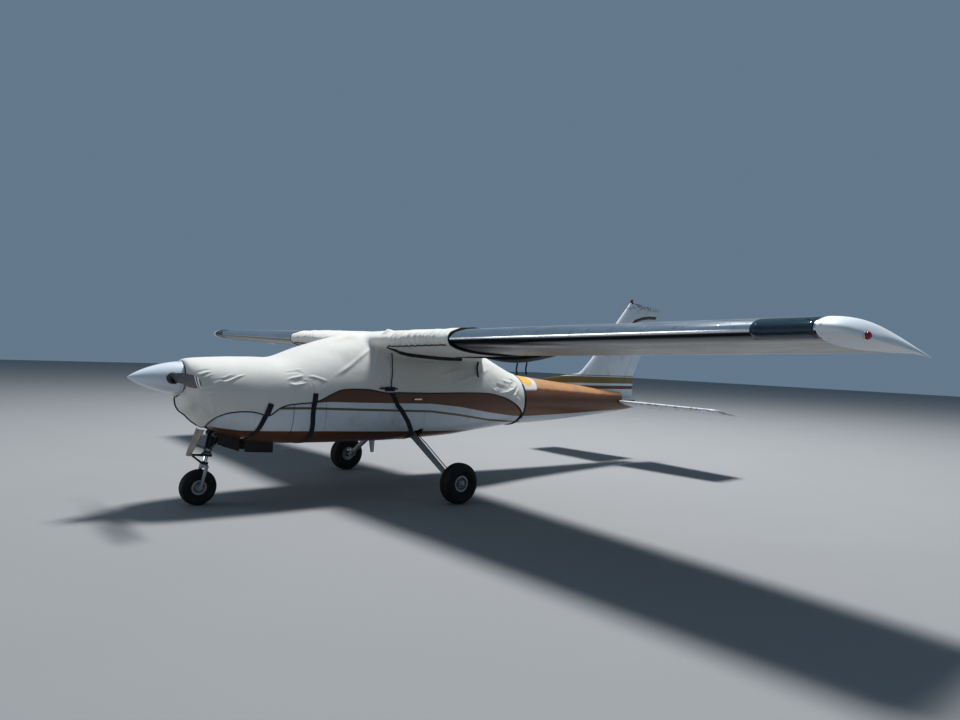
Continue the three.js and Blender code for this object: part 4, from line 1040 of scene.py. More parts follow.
def makePanels():
    right = loft("wing", [fixedSection(y) for y in wing["stations"]], finish["metal"], angle=30)
    blocks = []
    for y in (lamps["from"], lamps["to"]):
        w = wingAt(y)
        front = at(w["lead"])
        low, high = lamps["block"]
        blocks.append([(front - 0.06, y, low), (front + lensDepth(w, low), y, low),
                       (front + lensDepth(w, high), y, high), (front - 0.06, y, high)])
    cut(right, loft("lampPlace", blocks, finish["dark"]))
    sharpen(right, 30)
    dress(mirrored(right, "wingLeft"), "airframe", "bare_metal", "wing_left")
    dress(right, "airframe", "bare_metal", "wing_right")


def makeLenses():
    bowl = [(0.0, 0.030), (0.022, 0.026), (0.040, 0.012), (0.050, -0.010), (0.0515, -0.012), (0.0515, 0.004),
            (0.030, 0.032), (0.0, 0.036)]
    face = [(0.0, -0.006), (0.030, -0.0045), (0.046, -0.002), (0.049, -0.010), (0.030, -0.0125),
            (0.0, -0.014)]
    share, aim = 0.062, (1, 0, 0.08)
    for sign, side in sides:
        pane = noseStrip("pane", lamps["from"] + 0.001, lamps["to"] - 0.001, 0.001, finish["lens"])
        modify(pane, "SOLIDIFY", thickness=0.003, offset=-1)
        parts = [pane]
        for y in lamps["at"]:
            centre = wingPoint(wingAt(y), y, share, camberOf(share) + 0.004)
            parts.append(lathe("lamp", bowl, aim, centre, finish["lamp"], 36))
            parts.append(lathe("lampFace", face, aim, centre, finish["glass"], 36))
        piece = joined("landingLens", parts)
        dress(flip(piece) if sign < 0 else piece, "airframe", "glass", f"landing_lens_{side}")


def makeSurfaces():  # the flaps and ailerons
    def pivot(y):
        return wingPoint(wingAt(y), y, wing["hinge"], camberOf(wing["hinge"]))

    for name, pinAt in (("flap", (0.6203, 0.65)), ("aileron", (5.226, 5.2600))):
        a, b = wing[name]
        surface = loft(name, [movingSection(a + (b - a) * i / 14) for i in range(15)], finish["metal"],
                       angle=30)
        pin = rod("pin", pivot(pinAt[0]), pivot(pinAt[1]), 0.008, finish["steel"], sides=16)
        piece = joined(name, [surface, pin])
        dress(mirrored(piece, name + "Left"), f"{name}_left", "bare_metal", f"{name}_left")
        dress(piece, f"{name}_right", "bare_metal", f"{name}_right")


sleeveEdge = {"from": 0.665, "width": 1.115, "steps": 24, "sag": 0.072, "share": (0.86, 0.135),
              "tabs": [(1.10, 1.407), (1.262, 1.420)], "tabTop": 1.585, "tabAt": 4.005}


def makeSleeveEdges():  # the loose edge of the cover under each flap, in black webbing as painted shade, with two hanging tabs
    edge, webbing = sleeveEdge, finish["webbing"]
    for sign, side in sides:
        rings = []
        for k in range(edge["steps"] + 1):
            y = edge["from"] + edge["width"] * k / edge["steps"]
            drop = edge["sag"] * math.sin(math.pi * k / edge["steps"]) ** 0.7
            first, width = edge["share"]
            line = [wingSkin(wingAt(y), y, first + width * i / 6, -1, 0.0006) for i in range(7)]
            drops = [0.004 + drop * math.sin(math.pi * (i + 1.5) / 8.5) for i in range(7)]
            low = [q - Vector((0, 0, d)) for q, d in zip(line, drops)]
            rings.append([Vector((q.x, sign * q.y, q.z)) for q in line + low[::-1]])
        # the sagging cloth takes the black webbing finish as painted shade
        shadeSagAndTabs = [loft("sag", rings, webbing, angle=50)]
        for y, low in edge["tabs"]:
            path = [Vector((at(edge["tabAt"] + 0.006 * math.sin(k)), sign * y,
                            edge["tabTop"] + (low - edge["tabTop"]) * k / 8)) for k in range(9)]
            shadeSagAndTabs.append(ribbon("strap", path, 0.011, 0.003, webbing, centre=(0, sign * 9, 1.5)))
        dress(joined("sleeveEdge", shadeSagAndTabs), f"flap_{side}", "webbing")


def makeTips():
    tip = loft("tip", [tipRing(*row) for row in between(tips, 4)], finish["tip"], angle=50)
    dress(mirrored(tip, "tipLeft"), "airframe", "skin_white", "wing_tip_left")
    dress(tip, "airframe", "skin_white", "wing_tip_right")
    for sign, side, lens in ((1, "right", "green"), (-1, "left", "red")):
        low, high = (Vector(corner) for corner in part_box(f"nav_light_{side}"))
        centre, size = (low + high) / 2, (high - low) / 2
        globe = ellipsoid("glow", centre, (size.x, max(size.y, 0.018), size.z), finish[lens])
        profile = [(0.90, 0.0), (1.12, 0.25), (1.18, 0.0), (1.12, -0.25)]
        ring = lathe("ring", profile, (0, 1, 0), (0, 0, 0), finish["chrome"], 32)
        inner = Matrix.Translation(centre - Vector((0, 0.008 * sign, 0)))
        ring.data.transform(inner @ Matrix.Diagonal((size.x, 0.010, size.z, 1)))
        dress(joined("navLight", [globe, ring]), "airframe", f"{lens}_lens", f"nav_light_{side}")


def makeWings():
    makePanels()
    makeLenses()
    makeSurfaces()
    makeSleeveEdges()
    makeTips()
    print("wings made")


# Spinner and propeller
prop = {"s": 0.370, "length": 0.480, "width": 0.162, "hole": 0.046,
        "plate": [(0.0, 0.4803), (0.156, 0.4803), (0.1605, 0.4810), (0.1615, 0.4825), (0.1605, 0.4838),
                  (0.0, 0.4840)],
        "boot": [(0.0385, 0.118), (0.0520, 0.120), (0.0545, 0.128), (0.0540, 0.160), (0.0555, 0.166),
                 (0.0555, 0.186), (0.0520, 0.192), (0.0500, 0.214), (0.0440, 0.226), (0.036, 0.228)],
        "clamp": [(0.055, 0.150), (0.0575, 0.151), (0.0575, 0.158), (0.055, 0.159)],
        "blade": [(0.0, 0.078, 0.078, 60), (0.150, 0.078, 0.072, 60), (0.240, 0.104, 0.044, 52),
                  (0.400, 0.146, 0.024, 38), (0.620, 0.150, 0.016, 28), (0.850, 0.124, 0.011, 20),
                  (0.955, 0.096, 0.008, 17), (0.980, 0.062, 0.006, 16), (0.990, 0.030, 0.004, 16)]}


def spinnerRadius(s):
    return prop["width"] * (1 - (1 - s / prop["length"]) ** 1.7) ** 0.82


def bladeRing(row, n=28):  # y, chord, thickness, twist
    y, chord, thick, twist = row
    turn, ring = math.radians(twist), []
    isRound = thick / chord * 1.2 > 0.9
    for i in range(n):
        a = 2 * math.pi * i / n
        u = chord / 2 * math.cos(a)
        shape = math.sin(a)
        if not isRound:
            shape = math.copysign(abs(shape) ** 1.25, shape) * (1 + 0.25 * math.cos(a))
        v = thick / 2 * shape
        ring.append((at(prop["s"]) + u * math.sin(turn) + v * math.cos(turn), y,
                     thrustZ + u * math.cos(turn) - v * math.sin(turn)))
    return ring


def makeSpinner():
    tip, long = (at(0), 0, thrustZ), prop["length"]
    outer = [(spinnerRadius(long * t), long * t) for t in (0.0, 0.002, 0.006, 0.015, 0.03)]
    outer += [(spinnerRadius(long * t / 40), long * t / 40) for t in range(2, 41)]
    inner = [(max(0.0, spinnerRadius(long * t / 20) - 0.005), long * t / 20) for t in range(20, 2, -1)]
    shell = lathe("spinner", outer + inner + [(0.0, 0.05)], (1, 0, 0), tip, finish["spinner"], 96, 40)
    ends = [(at(prop["s"]), y, thrustZ) for y in (-0.2, 0.2)]
    cut(shell, rod("bladeHole", *ends, prop["hole"] + 0.008, finish["spinner"], sides=48))
    dress(sharpen(shell, 40), "propeller", "spinner", "spinner")
    plate = lathe("backplate", prop["plate"], (1, 0, 0), tip, finish["steel"], 64)
    dress(plate, "propeller", "bare_metal", "spinner_backplate")


def makePropeller():
    makeSpinner()
    middle = (at(prop["s"]), 0, thrustZ)
    blade = loft("blade", [bladeRing(row) for row in between(prop["blade"], 5)], finish["blade"], angle=50)
    boot = lathe("boot", prop["boot"], (0, 1, 0), middle, finish["boot"], 40)
    clamp = lathe("clamp", prop["clamp"], (0, 1, 0), middle, finish["steel"], 40)
    parts = [blade, boot, clamp]
    for part in list(parts):
        other = linked("other", part.data.copy())
        spot = Matrix.Translation((0, 0, thrustZ))
        other.data.transform(spot @ Matrix.Rotation(math.pi, 4, "X") @ spot.inverted())
        parts.append(other)
    parts.append(rod("shaft", (at(0.32), 0, thrustZ), (at(0.480), 0, thrustZ), 0.062, finish["steel"],
                     sides=32))
    dress(joined("propeller", parts), "propeller", "blade", "propeller")
    print("propeller made")


# Wheels and legs
wheels = {
    "main": {"s": 3.060, "y": 1.258, "r": 0.222, "half": 0.080, "bead": 0.076, "rim": 0.055, "bore": 0.026},
    "nose": {"s": 0.692, "y": 0.0, "r": 0.180, "half": 0.062, "bead": 0.063, "rim": 0.044, "bore": 0.020},
}


def tyreProfile(w):
    b, rb = w["rim"] - 0.0054, w["bead"] + 0.0004
    h = w["r"] - w["bead"]
    side = [(rb, b - 0.0005), (rb + 0.0135, b + 0.0002), (rb + 0.27 * h, b + 0.45 * (w["half"] - b)),
            (rb + 0.52 * h, w["half"]), (rb + 0.76 * h, w["half"] * 0.96), (rb + 0.90 * h, w["half"] * 0.80),
            (w["r"] - 0.0035, w["half"] * 0.52)]
    rows = [(k, r, y) for k, (r, y) in enumerate(side)]
    flank = [(row[1], row[2]) for row in between(rows, 4)]
    crown = []
    for y in (0.42, 0.34, 0.33, 0.27, 0.26, 0.08, 0.065, -0.065, -0.08, -0.26, -0.27, -0.33, -0.34, -0.42):
        groove = any(low < abs(y) < high for low, high in ((0.0, 0.07), (0.265, 0.335)))
        radius = w["r"] - 0.0028 * (y / 0.5) ** 2 - (0.0045 if groove else 0)
        crown.append((radius, y * w["half"]))
    return flank + crown + [(r, -y) for r, y in flank[::-1]]


def rimProfile(w):
    b, rb, hub = w["rim"], w["bead"], w["rim"] + 0.006
    bore = w["bore"]
    side = [(bore, hub), (bore + 0.012, hub), (bore + 0.014, hub - 0.002), (bore + 0.015, 0.020),
            (bore + 0.022, 0.012), (rb - 0.016, 0.010), (rb - 0.010, 0.016), (rb - 0.008, b - 0.006),
            (rb - 0.004, b - 0.001), (rb + 0.008, b), (rb + 0.0125, b - 0.001), (rb + 0.013, b - 0.004),
            (rb + 0.002, b - 0.0054), (rb - 0.001, b - 0.009), (rb - 0.002, 0.010)]
    return side + [(r, -y) for r, y in side[::-1]] + [side[0]]


# Copies of an item at points with directions, by geometry nodes
def scattered(name, item, places, material):
    cloud = bpy.data.meshes.new(name)
    cloud.from_pydata([tuple(p) for p, _ in places], [], [])
    facing = cloud.attributes.new("facing", "FLOAT_VECTOR", "POINT")
    for i, (_, d) in enumerate(places):
        facing.data[i].vector = d
    holder = linked(name, cloud)
    tree = bpy.data.node_groups.new(name, "GeometryNodeTree")
    for key, kind, way in (("Points", "NodeSocketGeometry", "INPUT"), ("Item", "NodeSocketObject", "INPUT"),
                           ("Finish", "NodeSocketMaterial", "INPUT"),
                           ("Made", "NodeSocketGeometry", "OUTPUT")):
        tree.interface.new_socket(key, in_out=way, socket_type=kind)
    start, end = tree.nodes.new("NodeGroupInput"), tree.nodes.new("NodeGroupOutput")
    info, copies, turn = (tree.nodes.new(k) for k in (
        "GeometryNodeObjectInfo", "GeometryNodeInstanceOnPoints", "FunctionNodeAlignRotationToVector"))
    named, real, paint = (tree.nodes.new(k) for k in (
        "GeometryNodeInputNamedAttribute", "GeometryNodeRealizeInstances", "GeometryNodeSetMaterial"))
    turn.axis, named.data_type = "Z", "FLOAT_VECTOR"
    named.inputs[0].default_value = "facing"
    link = tree.links.new
    link(start.outputs["Points"], copies.inputs["Points"])
    link(start.outputs["Item"], info.inputs["Object"])
    link(info.outputs["Geometry"], copies.inputs["Instance"])
    link(named.outputs[0], turn.inputs["Vector"])
    link(turn.outputs["Rotation"], copies.inputs["Rotation"])
    link(copies.outputs["Instances"], real.inputs["Geometry"])
    link(real.outputs["Geometry"], paint.inputs["Geometry"])
    link(start.outputs["Finish"], paint.inputs["Material"])
    link(paint.outputs["Geometry"], end.inputs["Made"])
    made = holder.modifiers.new(name, "NODES")
    made.node_group = tree
    keys = {s.name: s.identifier for s in tree.interface.items_tree if s.in_out == "INPUT"}
    made[keys["Item"]], made[keys["Finish"]] = item, material
    smooth(settle(holder))
    bpy.data.objects.remove(item)
    return holder


def hexBolt(radius, height):
    return lathe("bolt", [(0.0, height), (radius * 0.88, height), (radius, height * 0.85), (radius, 0.0)],
                 (0, 0, 1), (0, 0, 0), finish["steel"], 6, 20)


def wheelPiece(w, name, sign):
    centre = Vector((at(w["s"]), w["y"] * sign, w["r"]))
    tyre = lathe(name + "Tyre", tyreProfile(w), (0, 1, 0), centre, finish["tyre"], 96, 30)
    rim = lathe(name + "Rim", rimProfile(w), (0, 1, 0), centre, finish["rim"], 72, 30)
    places = []
    r = (w["bore"] + w["bead"]) / 2 + 0.003
    for k in range(6):
        a = 2 * math.pi * (k + 0.5) / 6
        for side in (1, -1):
            places.append((centre + Vector((r * math.cos(a), side * 0.0105, r * math.sin(a))),
                           (0, side, 0)))
    parts = [rim, scattered(name + "Bolts", hexBolt(0.0055, 0.007), places, finish["steel"])]
    if name == "main":
        bore, face = w["bore"], sign * (w["rim"] + 0.006)
        cap = [(0.0, 0.012), (bore * 0.5, 0.011), (bore * 0.85, 0.007), (bore + 0.006, 0.001),
               (bore + 0.006, -0.003)]
        parts.append(lathe("cap", cap, (0, sign, 0), centre + Vector((0, face, 0)), finish["steel"], 40))
    valve = centre + Vector((0.6 * w["bead"], sign * 0.012, 0.55 * w["bead"]))
    parts.append(rod("valve", valve, valve + Vector((0.004, 0.020 * sign, 0.003)), 0.003, finish["black"],
                     sides=10))
    if name == "main":
        disc = [(0.040, 0.0), (0.070, 0.0), (0.070, 0.004), (0.069, 0.005), (0.040, 0.005), (0.040, 0.0)]
        inner = centre + Vector((0, -sign * (w["rim"] + 0.012) - 0.0025, 0))
        parts.append(lathe("disc", disc, (0, 1, 0), inner, finish["chrome"], 64))
    return tyre, joined(name + "Rim", parts)


frontDoor = {"top": 0.770, "foot": 0.505, "s": (0.665, 0.568), "half": (0.120, 0.072),
             "sweep": (0.030, 0.012)}
bayDoors = {
    "foreDoor": [(0.830, 0.770), (1.050, 0.703), (1.050, 0.540), (0.978, 0.568), (0.880, 0.600),
                 (0.830, 0.650)],
    "aftDoor": [(1.110, 0.692), (1.415, 0.680), (1.415, 0.508), (1.232, 0.521), (1.110, 0.532)],
}


strut = {"foot": (0.704, 0.180), "lean": 0.193, "crown": 0.212}  # the nose strut's axis


def strutAt(t, y=0.0):  # a point t above the axle along the nose strut
    return (at(strut["foot"][0] + strut["lean"] * t), y, strut["foot"][1] + t)


def makeMainLegs():
    steel, black, grey = finish["steel"], finish["black"], finish["grey"]
    w = wheels["main"]
    wheelX, z, hub = at(w["s"]), w["r"], w["y"] - w["rim"] - 0.006
    root, foot = Vector((at(3.018), 0.3605, 0.678)), Vector((at(3.056), 1.115, 0.240))
    along = foot - root
    collar = [(0.046, -0.012), (0.050, -0.008), (0.050, 0.008), (0.046, 0.012), (0.038, 0.012),
              (0.038, -0.012), (0.046, -0.012)]
    clamp = [(0.031, -0.014), (0.036, -0.011), (0.036, 0.011), (0.031, 0.014), (0.026, 0.014),
             (0.026, -0.014), (0.031, -0.014)]
    hose = [(at(3.045), 0.42, 0.690), (at(3.066), 0.62, 0.575), (at(3.078), 0.86, 0.432),
            (at(3.086), 1.06, 0.315), (at(3.100), 1.14, 0.262), (at(3.116), 1.172, 0.240)]
    for sign, side in sides:
        tyre, rim = wheelPiece(w, "main", sign)
        dress(tyre, f"main_wheel_{side}", "tyre", f"main_tyre_{side}")
        dress(rim, f"main_wheel_{side}", "rim", f"main_rim_{side}")
        path = [root.lerp(foot, k / 12) for k in range(13)]
        parts = [
            tube("leg", path, 0.04, grey, 32, radii=[0.040 - 0.013 * k / 12 for k in range(13)]),
            rod("stub", (wheelX, 1.090, z), (wheelX, hub - 0.0003, z), 0.032, grey, sides=32),
            rod("axle", (wheelX, 1.16, z), (wheelX, w["y"] + w["rim"] + 0.010, z), 0.020, steel),
            lathe("collar", collar, along, root.lerp(foot, 0.035), steel, 32),
            lathe("clamp", clamp, along, root.lerp(foot, 0.90), steel, 32),
            tube("hose", halved(hose), 0.005, black, 10),
            box("caliper", (wheelX + 0.036, hub - 0.040, z - 0.030),
                (wheelX + 0.082, hub - 0.0135, z + 0.030), steel),
            rod("piston", (wheelX + 0.058, hub - 0.052, z), (wheelX + 0.058, hub - 0.036, z), 0.019, steel),
            box("plate", (wheelX - 0.030, hub - 0.034, z - 0.034), (wheelX + 0.060, hub - 0.029, z + 0.034),
                black),
        ]
        whole = joined("leg", parts)
        dress(flip(whole) if sign < 0 else whole, "airframe", "steel_grey", f"main_leg_{side}")


def makeNoseFork():
    steel, grey, paint, crown = finish["steel"], finish["grey"], finish["rim"], strut["crown"]
    w = wheels["nose"]
    tyre, rim = wheelPiece(w, "nose", 1)
    dress(tyre, "nose_wheel", "tyre", "nose_tyre")
    dress(rim, "nose_wheel", "rim", "nose_rim")
    wheelX, z, hub, apart = at(w["s"]), w["r"], w["rim"] + 0.006, 0.086
    end = [(0.0, 0.010), (0.016, 0.009), (0.022, 0.005), (0.023, 0.0), (0.023, -0.012), (0.0, -0.012)]
    nut = [(0.0, 0.012), (0.011, 0.012), (0.0125, 0.010), (0.0125, 0.0)]
    lug = [(0.0, 0.010), (0.012, 0.009), (0.013, -0.009), (0.0, -0.010)]
    fork = [rod("crown", strutAt(crown - 0.018), strutAt(crown + 0.022), 0.034, grey, sides=32),
            rod("bar", strutAt(crown, -apart), strutAt(crown, apart), 0.019, grey, sides=28),
            rod("axle", (wheelX, -0.100, z), (wheelX, 0.100, z), 0.014, steel)]
    for k in (1, -1):
        top, foot = Vector(strutAt(crown + 0.004, apart * k)), Vector((wheelX, apart * k, z))
        arm = [top.lerp(foot, i / 8) for i in range(9)]
        fork += [
            tube("arm", arm, 0.017, paint, 24, radii=[0.0185 - 0.0045 * i / 8 for i in range(9)]),
            lathe("end", end, (0, k, 0), foot, paint, 28),
            rod("spacer", (wheelX, k * (hub + 0.0003), z), foot, 0.020, steel),
            lathe("nut", nut, (0, k, 0), (wheelX, 0.0955 * k, z), steel, 6, 20),
            lathe("lug", lug, (0, 1, 0), strutAt(crown, 0.094 * k), steel, 20),
        ]
    dress(joined("noseFork", fork), "nose_gear", "steel_grey", "nose_fork")


def makeTorqueLink():
    steel, black, up = finish["steel"], finish["black"], (strut["lean"], 0, 1)
    elbow, crown = Vector((at(0.612), 0, 0.512)), strut["crown"]
    lowCollar = [(0.0245, 0.0), (0.033, 0.0), (0.0345, 0.002), (0.0345, 0.014), (0.033, 0.0165),
                 (0.0245, 0.0165), (0.0245, 0.0)]
    highCollar = [(0.0445, 0.0), (0.052, 0.0), (0.054, 0.002), (0.054, 0.018), (0.052, 0.021),
                  (0.0445, 0.021), (0.0445, 0.0)]
    link = [lathe("lowerCollar", lowCollar, up, strutAt(crown + 0.0226), black, 36),
            lathe("upperCollar", highCollar, up, strutAt(0.3105), black, 36),
            rod("elbowPin", elbow - Vector((0, 0.032, 0)), elbow + Vector((0, 0.032, 0)), 0.008, steel,
                sides=20)]
    for height, ahead, apart in ((crown + 0.030, 0.030, 0.012), (0.321, 0.050, 0.021)):
        root = Vector(strutAt(height)) - Vector((ahead, 0, 0))
        for k in (1, -1):
            a, b = root + Vector((0, 0.026 * k, 0)), elbow + Vector((0, apart * k, 0))
            arm = [a.lerp(b, i / 4) for i in range(5)]
            link.append(tube("linkArm", arm, 0.008, black, 12,
                             radii=[0.0095, 0.0085, 0.0080, 0.0080, 0.0095]))
        wide = Vector((0, 0.030, 0))
        link.append(rod("linkFoot", root - wide, root + wide, 0.0105, black, sides=18))
    dress(joined("torqueLink", link), "nose_gear", "black_metal", "nose_torque_link")


def makeNoseLeg():
    steel, black, up = finish["steel"], finish["black"], (strut["lean"], 0, 1)
    collar = [(0.036, 0.0), (0.047, 0.0), (0.050, 0.002), (0.050, 0.010), (0.047, 0.0117), (0.036, 0.0117)]
    gland = [(0.036, 0.0), (0.041, 0.001), (0.041, 0.030), (0.036, 0.034)]
    boss = [(0.0, 0.008), (0.024, 0.007), (0.027, 0.003), (0.027, -0.016), (0.0, -0.018)]
    leg = [rod("leg", strutAt(0.318), strutAt(0.600), 0.036, black, sides=36),
           lathe("collar", collar, up, strutAt(0.3325), steel, 36),
           lathe("gland", gland, up, strutAt(0.360), steel, 36),
           rod("crossTube", strutAt(0.54, -0.118), strutAt(0.54, 0.118), 0.020, black),
           rod("doorRod", (at(0.617), 0, 0.620), strutAt(0.381), 0.011, steel, sides=16),
           rod("drag", strutAt(0.36), (at(1.05), 0, 0.80), 0.013, black),
           rod("dragPost", (at(1.05), 0, 0.790), (at(1.05), 0, 1.00), 0.016, black)]
    lugX, lugZ = strutAt(0.4)[0], strut["foot"][1]
    for k in (1, -1):
        y0, y1 = sorted((0.030 * k, 0.054 * k))
        bend = Vector(strutAt(0.42, 0.058 * k)) + Vector((0.06, 0, 0.02))
        steer = [Vector(strutAt(0.395, 0.046 * k)), bend, Vector((at(0.98), 0.085 * k, 0.86))]
        leg += [
            rod("brace", strutAt(0.54, 0.100 * k), (at(0.832), 0.100 * k, 1.000), 0.014, black),
            lathe("boss", boss, (0, k, 0), strutAt(0.54, 0.110 * k), steel, 28),
            tube("steerRod", steer, 0.006, steel, 12),
            box("lug", (lugX - 0.012, y0, lugZ + 0.385), (lugX + 0.012, y1, lugZ + 0.410), black),
        ]
    line = [(at(0.80), 0.030, 0.66), (at(0.812), 0.046, 0.60), (at(0.806), 0.050, 0.545),
            (at(0.786), 0.044, 0.535)]
    leg.append(tube("hose", line, 0.006, black, 10))
    dress(joined("noseLeg", leg), "airframe", "black_metal", "nose_leg")


def doorAt(share):  # the front door's height, place, half width and sweep at a share of the way down
    keys = ("s", "half", "sweep")
    z = frontDoor["top"] + (frontDoor["foot"] - frontDoor["top"]) * share
    return (z, *(frontDoor[k][0] + (frontDoor[k][1] - frontDoor[k][0]) * share for k in keys))


def makeNoseDoors():
    black, plate, ribs = finish["black"], [], []
    for k in range(17):
        z, s, half, sweep = doorAt(k / 16)
        half *= 1 - max(0.0, (k / 16 - 0.86) / 0.14) ** 2 * 0.30
        row = [(at(s + sweep * (j / 8) ** 2), half * j / 8, z) for j in range(-8, 9)]
        plate.append(row + [(x + 0.006, y, z) for x, y, z in row[::-1]])
    front = loft("frontDoor", plate, finish["beige"], angle=30)
    for j in (-0.45, 0.45):
        ends = []
        for share in (0.06, 0.94):
            z, s, half, sweep = doorAt(share)
            ends.append((at(s + sweep * j * j) + 0.009, half * j, z))
        ribs.append(rod("rib", *ends, 0.0045, black, sides=8))
    dress(joined("frontDoor", [front] + ribs), "airframe", "skin_white", "nose_door_front")
    for sign, side in sides:
        y0, y1 = sorted((0.1237 * sign, 0.1277 * sign))
        for key, outline in bayDoors.items():
            door = prism(key, outline, y0, y1, finish["door"])
            edge = tube("edge", [(at(s), y0, z) for s, z in outline[2:]], 0.0035, black, 8)
            node = ("nose_door_" if key == "foreDoor" else "nose_door_aft_") + side
            dress(joined(key, [door, edge]), "airframe", "black_metal", node)


def makeGear():
    makeMainLegs()
    makeNoseFork()
    makeTorqueLink()
    makeNoseLeg()
    makeNoseDoors()
    print("gear made")


# Cover, piping and straps
cover = {
    "flat": (4.75, 5.2), "rest": 0.012, "least": 0.006, "voxel": 0.024, "hole": 0.158, "piping": 0.0065,
    "hem": [(0.400, 0.500), (0.600, 0.500), (0.693, 0.770), (0.688, 0.859), (0.728, 0.921), (0.805, 0.963),
            (0.921, 0.980), (1.044, 0.976), (1.148, 0.945), (1.202, 0.931), (1.237, 0.965), (1.299, 1.019),
            (1.378, 1.046), (1.502, 1.059), (1.629, 1.067), (1.715, 1.092), (1.814, 1.146), (1.939, 1.203),
            (2.067, 1.213), (2.187, 1.211), (2.310, 1.202), (2.415, 1.181), (2.524, 1.165), (2.652, 1.173),
            (2.878, 1.168), (3.128, 1.163), (3.397, 1.165), (3.675, 1.165), (3.896, 1.162), (4.052, 1.156),
            (4.190, 1.136), (4.325, 1.108), (4.450, 1.072), (4.558, 1.030), (4.650, 0.982), (4.727, 0.931),
            (4.790, 0.870), (4.818, 0.835), (4.818, 2.100), (0.400, 2.100)],
    "plan": [(0.3, -1.0), (0.3, 0.74), (2.25, 0.74), (2.25, 1.80), (2.45, 1.80), (2.62, 1.773),
             (2.90, 1.735), (3.20, 1.715), (4.10, 1.70), (4.10, 0.73), (5.2, 0.73), (5.2, -1.0)],
}
folds = [  # (s, z) points along each fold on the side of the cover, half width and height
    ([(0.54, 1.327), (0.6, 1.351), (0.655, 1.369)], 0.01, 0.013),
    ([(0.53, 1.35), (0.58, 1.372), (0.645, 1.388)], 0.012, -0.008),
    ([(0.608, 1.309), (0.673, 1.348)], 0.009, 0.007),
    ([(0.738, 1.299), (0.785, 1.324), (0.838, 1.348)], 0.009, 0.011),
    ([(0.77, 1.292), (0.87, 1.33)], 0.013, -0.009),
    ([(0.73, 1.281), (0.77, 1.271), (0.821, 1.291), (0.886, 1.321), (0.958, 1.346)], 0.012, 0.017),
    ([(0.558, 1.2), (0.595, 1.216), (0.661, 1.249), (0.732, 1.278)], 0.012, 0.008),
    ([(0.556, 1.165), (0.611, 1.171), (0.687, 1.184)], 0.012, 0.006),
    ([(0.628, 1.121), (0.881, 1.152)], 0.014, 0.005),
    ([(1.47, 1.404), (1.54, 1.409)], 0.01, 0.007),
    ([(1.373, 1.302), (1.424, 1.32), (1.493, 1.333), (1.543, 1.346)], 0.013, 0.013),
    ([(1.391, 1.258), (1.451, 1.25), (1.513, 1.259), (1.557, 1.272)], 0.011, 0.016),
    ([(1.42, 1.279), (1.53, 1.303)], 0.018, -0.011),
    ([(1.542, 1.307), (1.57, 1.302)], 0.008, 0.007),
    ([(1.585, 1.339), (1.645, 1.336), (1.705, 1.319), (1.787, 1.293)], 0.014, 0.01),
    ([(1.36, 1.371), (1.476, 1.382), (1.548, 1.368)], 0.012, -0.007),
    ([(1.366, 1.083), (1.573, 1.112)], 0.016, 0.005),
    ([(2.44, 1.705), (2.32, 1.627), (2.185, 1.541), (2.098, 1.478), (1.976, 1.402), (1.884, 1.348)], 0.024,
     0.016),
    ([(2.46, 1.7), (2.42, 1.6), (2.365, 1.465), (2.345, 1.355), (2.338, 1.286)], 0.022, 0.022),
    ([(2.518, 1.609), (2.54, 1.45), (2.526, 1.269)], 0.014, 0.008),
    ([(3.24, 1.362), (3.63, 1.461)], 0.03, 0.008),
    ([(3.49, 1.296), (3.8, 1.368), (4.11, 1.462)], 0.028, 0.009),
    ([(4.242, 1.142), (4.433, 1.167), (4.579, 1.211), (4.68, 1.266)], 0.02, 0.022),
    ([(4.549, 1.1), (4.649, 1.174), (4.697, 1.219)], 0.016, 0.017),
    ([(4.197, 1.248), (4.291, 1.233), (4.4, 1.221)], 0.024, -0.012),
    ([(4.33, 1.33), (4.48, 1.29), (4.62, 1.3)], 0.018, 0.009),
    ([(4.56, 1.34), (4.7, 1.31)], 0.013, 0.008),
    ([(4.12, 1.18), (4.2, 1.205)], 0.014, 0.01),
    ([(4.12, 1.23), (4.18, 1.19), (4.25, 1.18)], 0.012, 0.008),
]
# Folds that spread from a point on the side: s, z, from and to angle, count, length, half width, height
fans = [
    (0.62, 1.290, -45, 10, 5, 0.22, 0.012, 0.004), (1.20, 0.960, 55, 140, 6, 0.24, 0.012, 0.004),
    (1.65, 1.090, 50, 130, 6, 0.22, 0.012, 0.004), (2.53, 1.190, 25, 155, 8, 0.30, 0.013, 0.005),
    (4.78, 0.960, 100, 170, 6, 0.30, 0.013, 0.008), (4.10, 1.540, 190, 250, 5, 0.34, 0.020, 0.006),
    (0.72, 0.900, 20, 150, 6, 0.24, 0.012, 0.005), (4.70, 1.290, 150, 215, 6, 0.24, 0.011, 0.008),
]


def signedDistance(u, v, outline):  # positive inside the outline
    inside = np.zeros(len(u), bool)
    nearest = np.full(len(u), 1e9)
    for (x0, y0), (x1, y1) in zip(outline, outline[1:] + outline[:1]):
        dx, dy = x1 - x0, y1 - y0
        t = np.clip(((u - x0) * dx + (v - y0) * dy) / (dx * dx + dy * dy), 0, 1)
        nearest = np.minimum(nearest, np.hypot(u - x0 - t * dx, v - y0 - t * dy))
        crosses = ((y0 > v) != (y1 > v)) & (u < (x1 - x0) * (v - y0) / ((y1 - y0) or 1e-12) + x0)
        inside ^= crosses
    return np.where(inside, nearest, -nearest)


def pointData(obj, key):  # a row of three values for each point, such as its place or its normal
    found = np.empty(len(obj.data.vertices) * 3)
    obj.data.vertices.foreach_get(key, found)
    return found.reshape(-1, 3)


def place(obj, where):
    obj.data.vertices.foreach_set("co", where.ravel())
    obj.data.update()


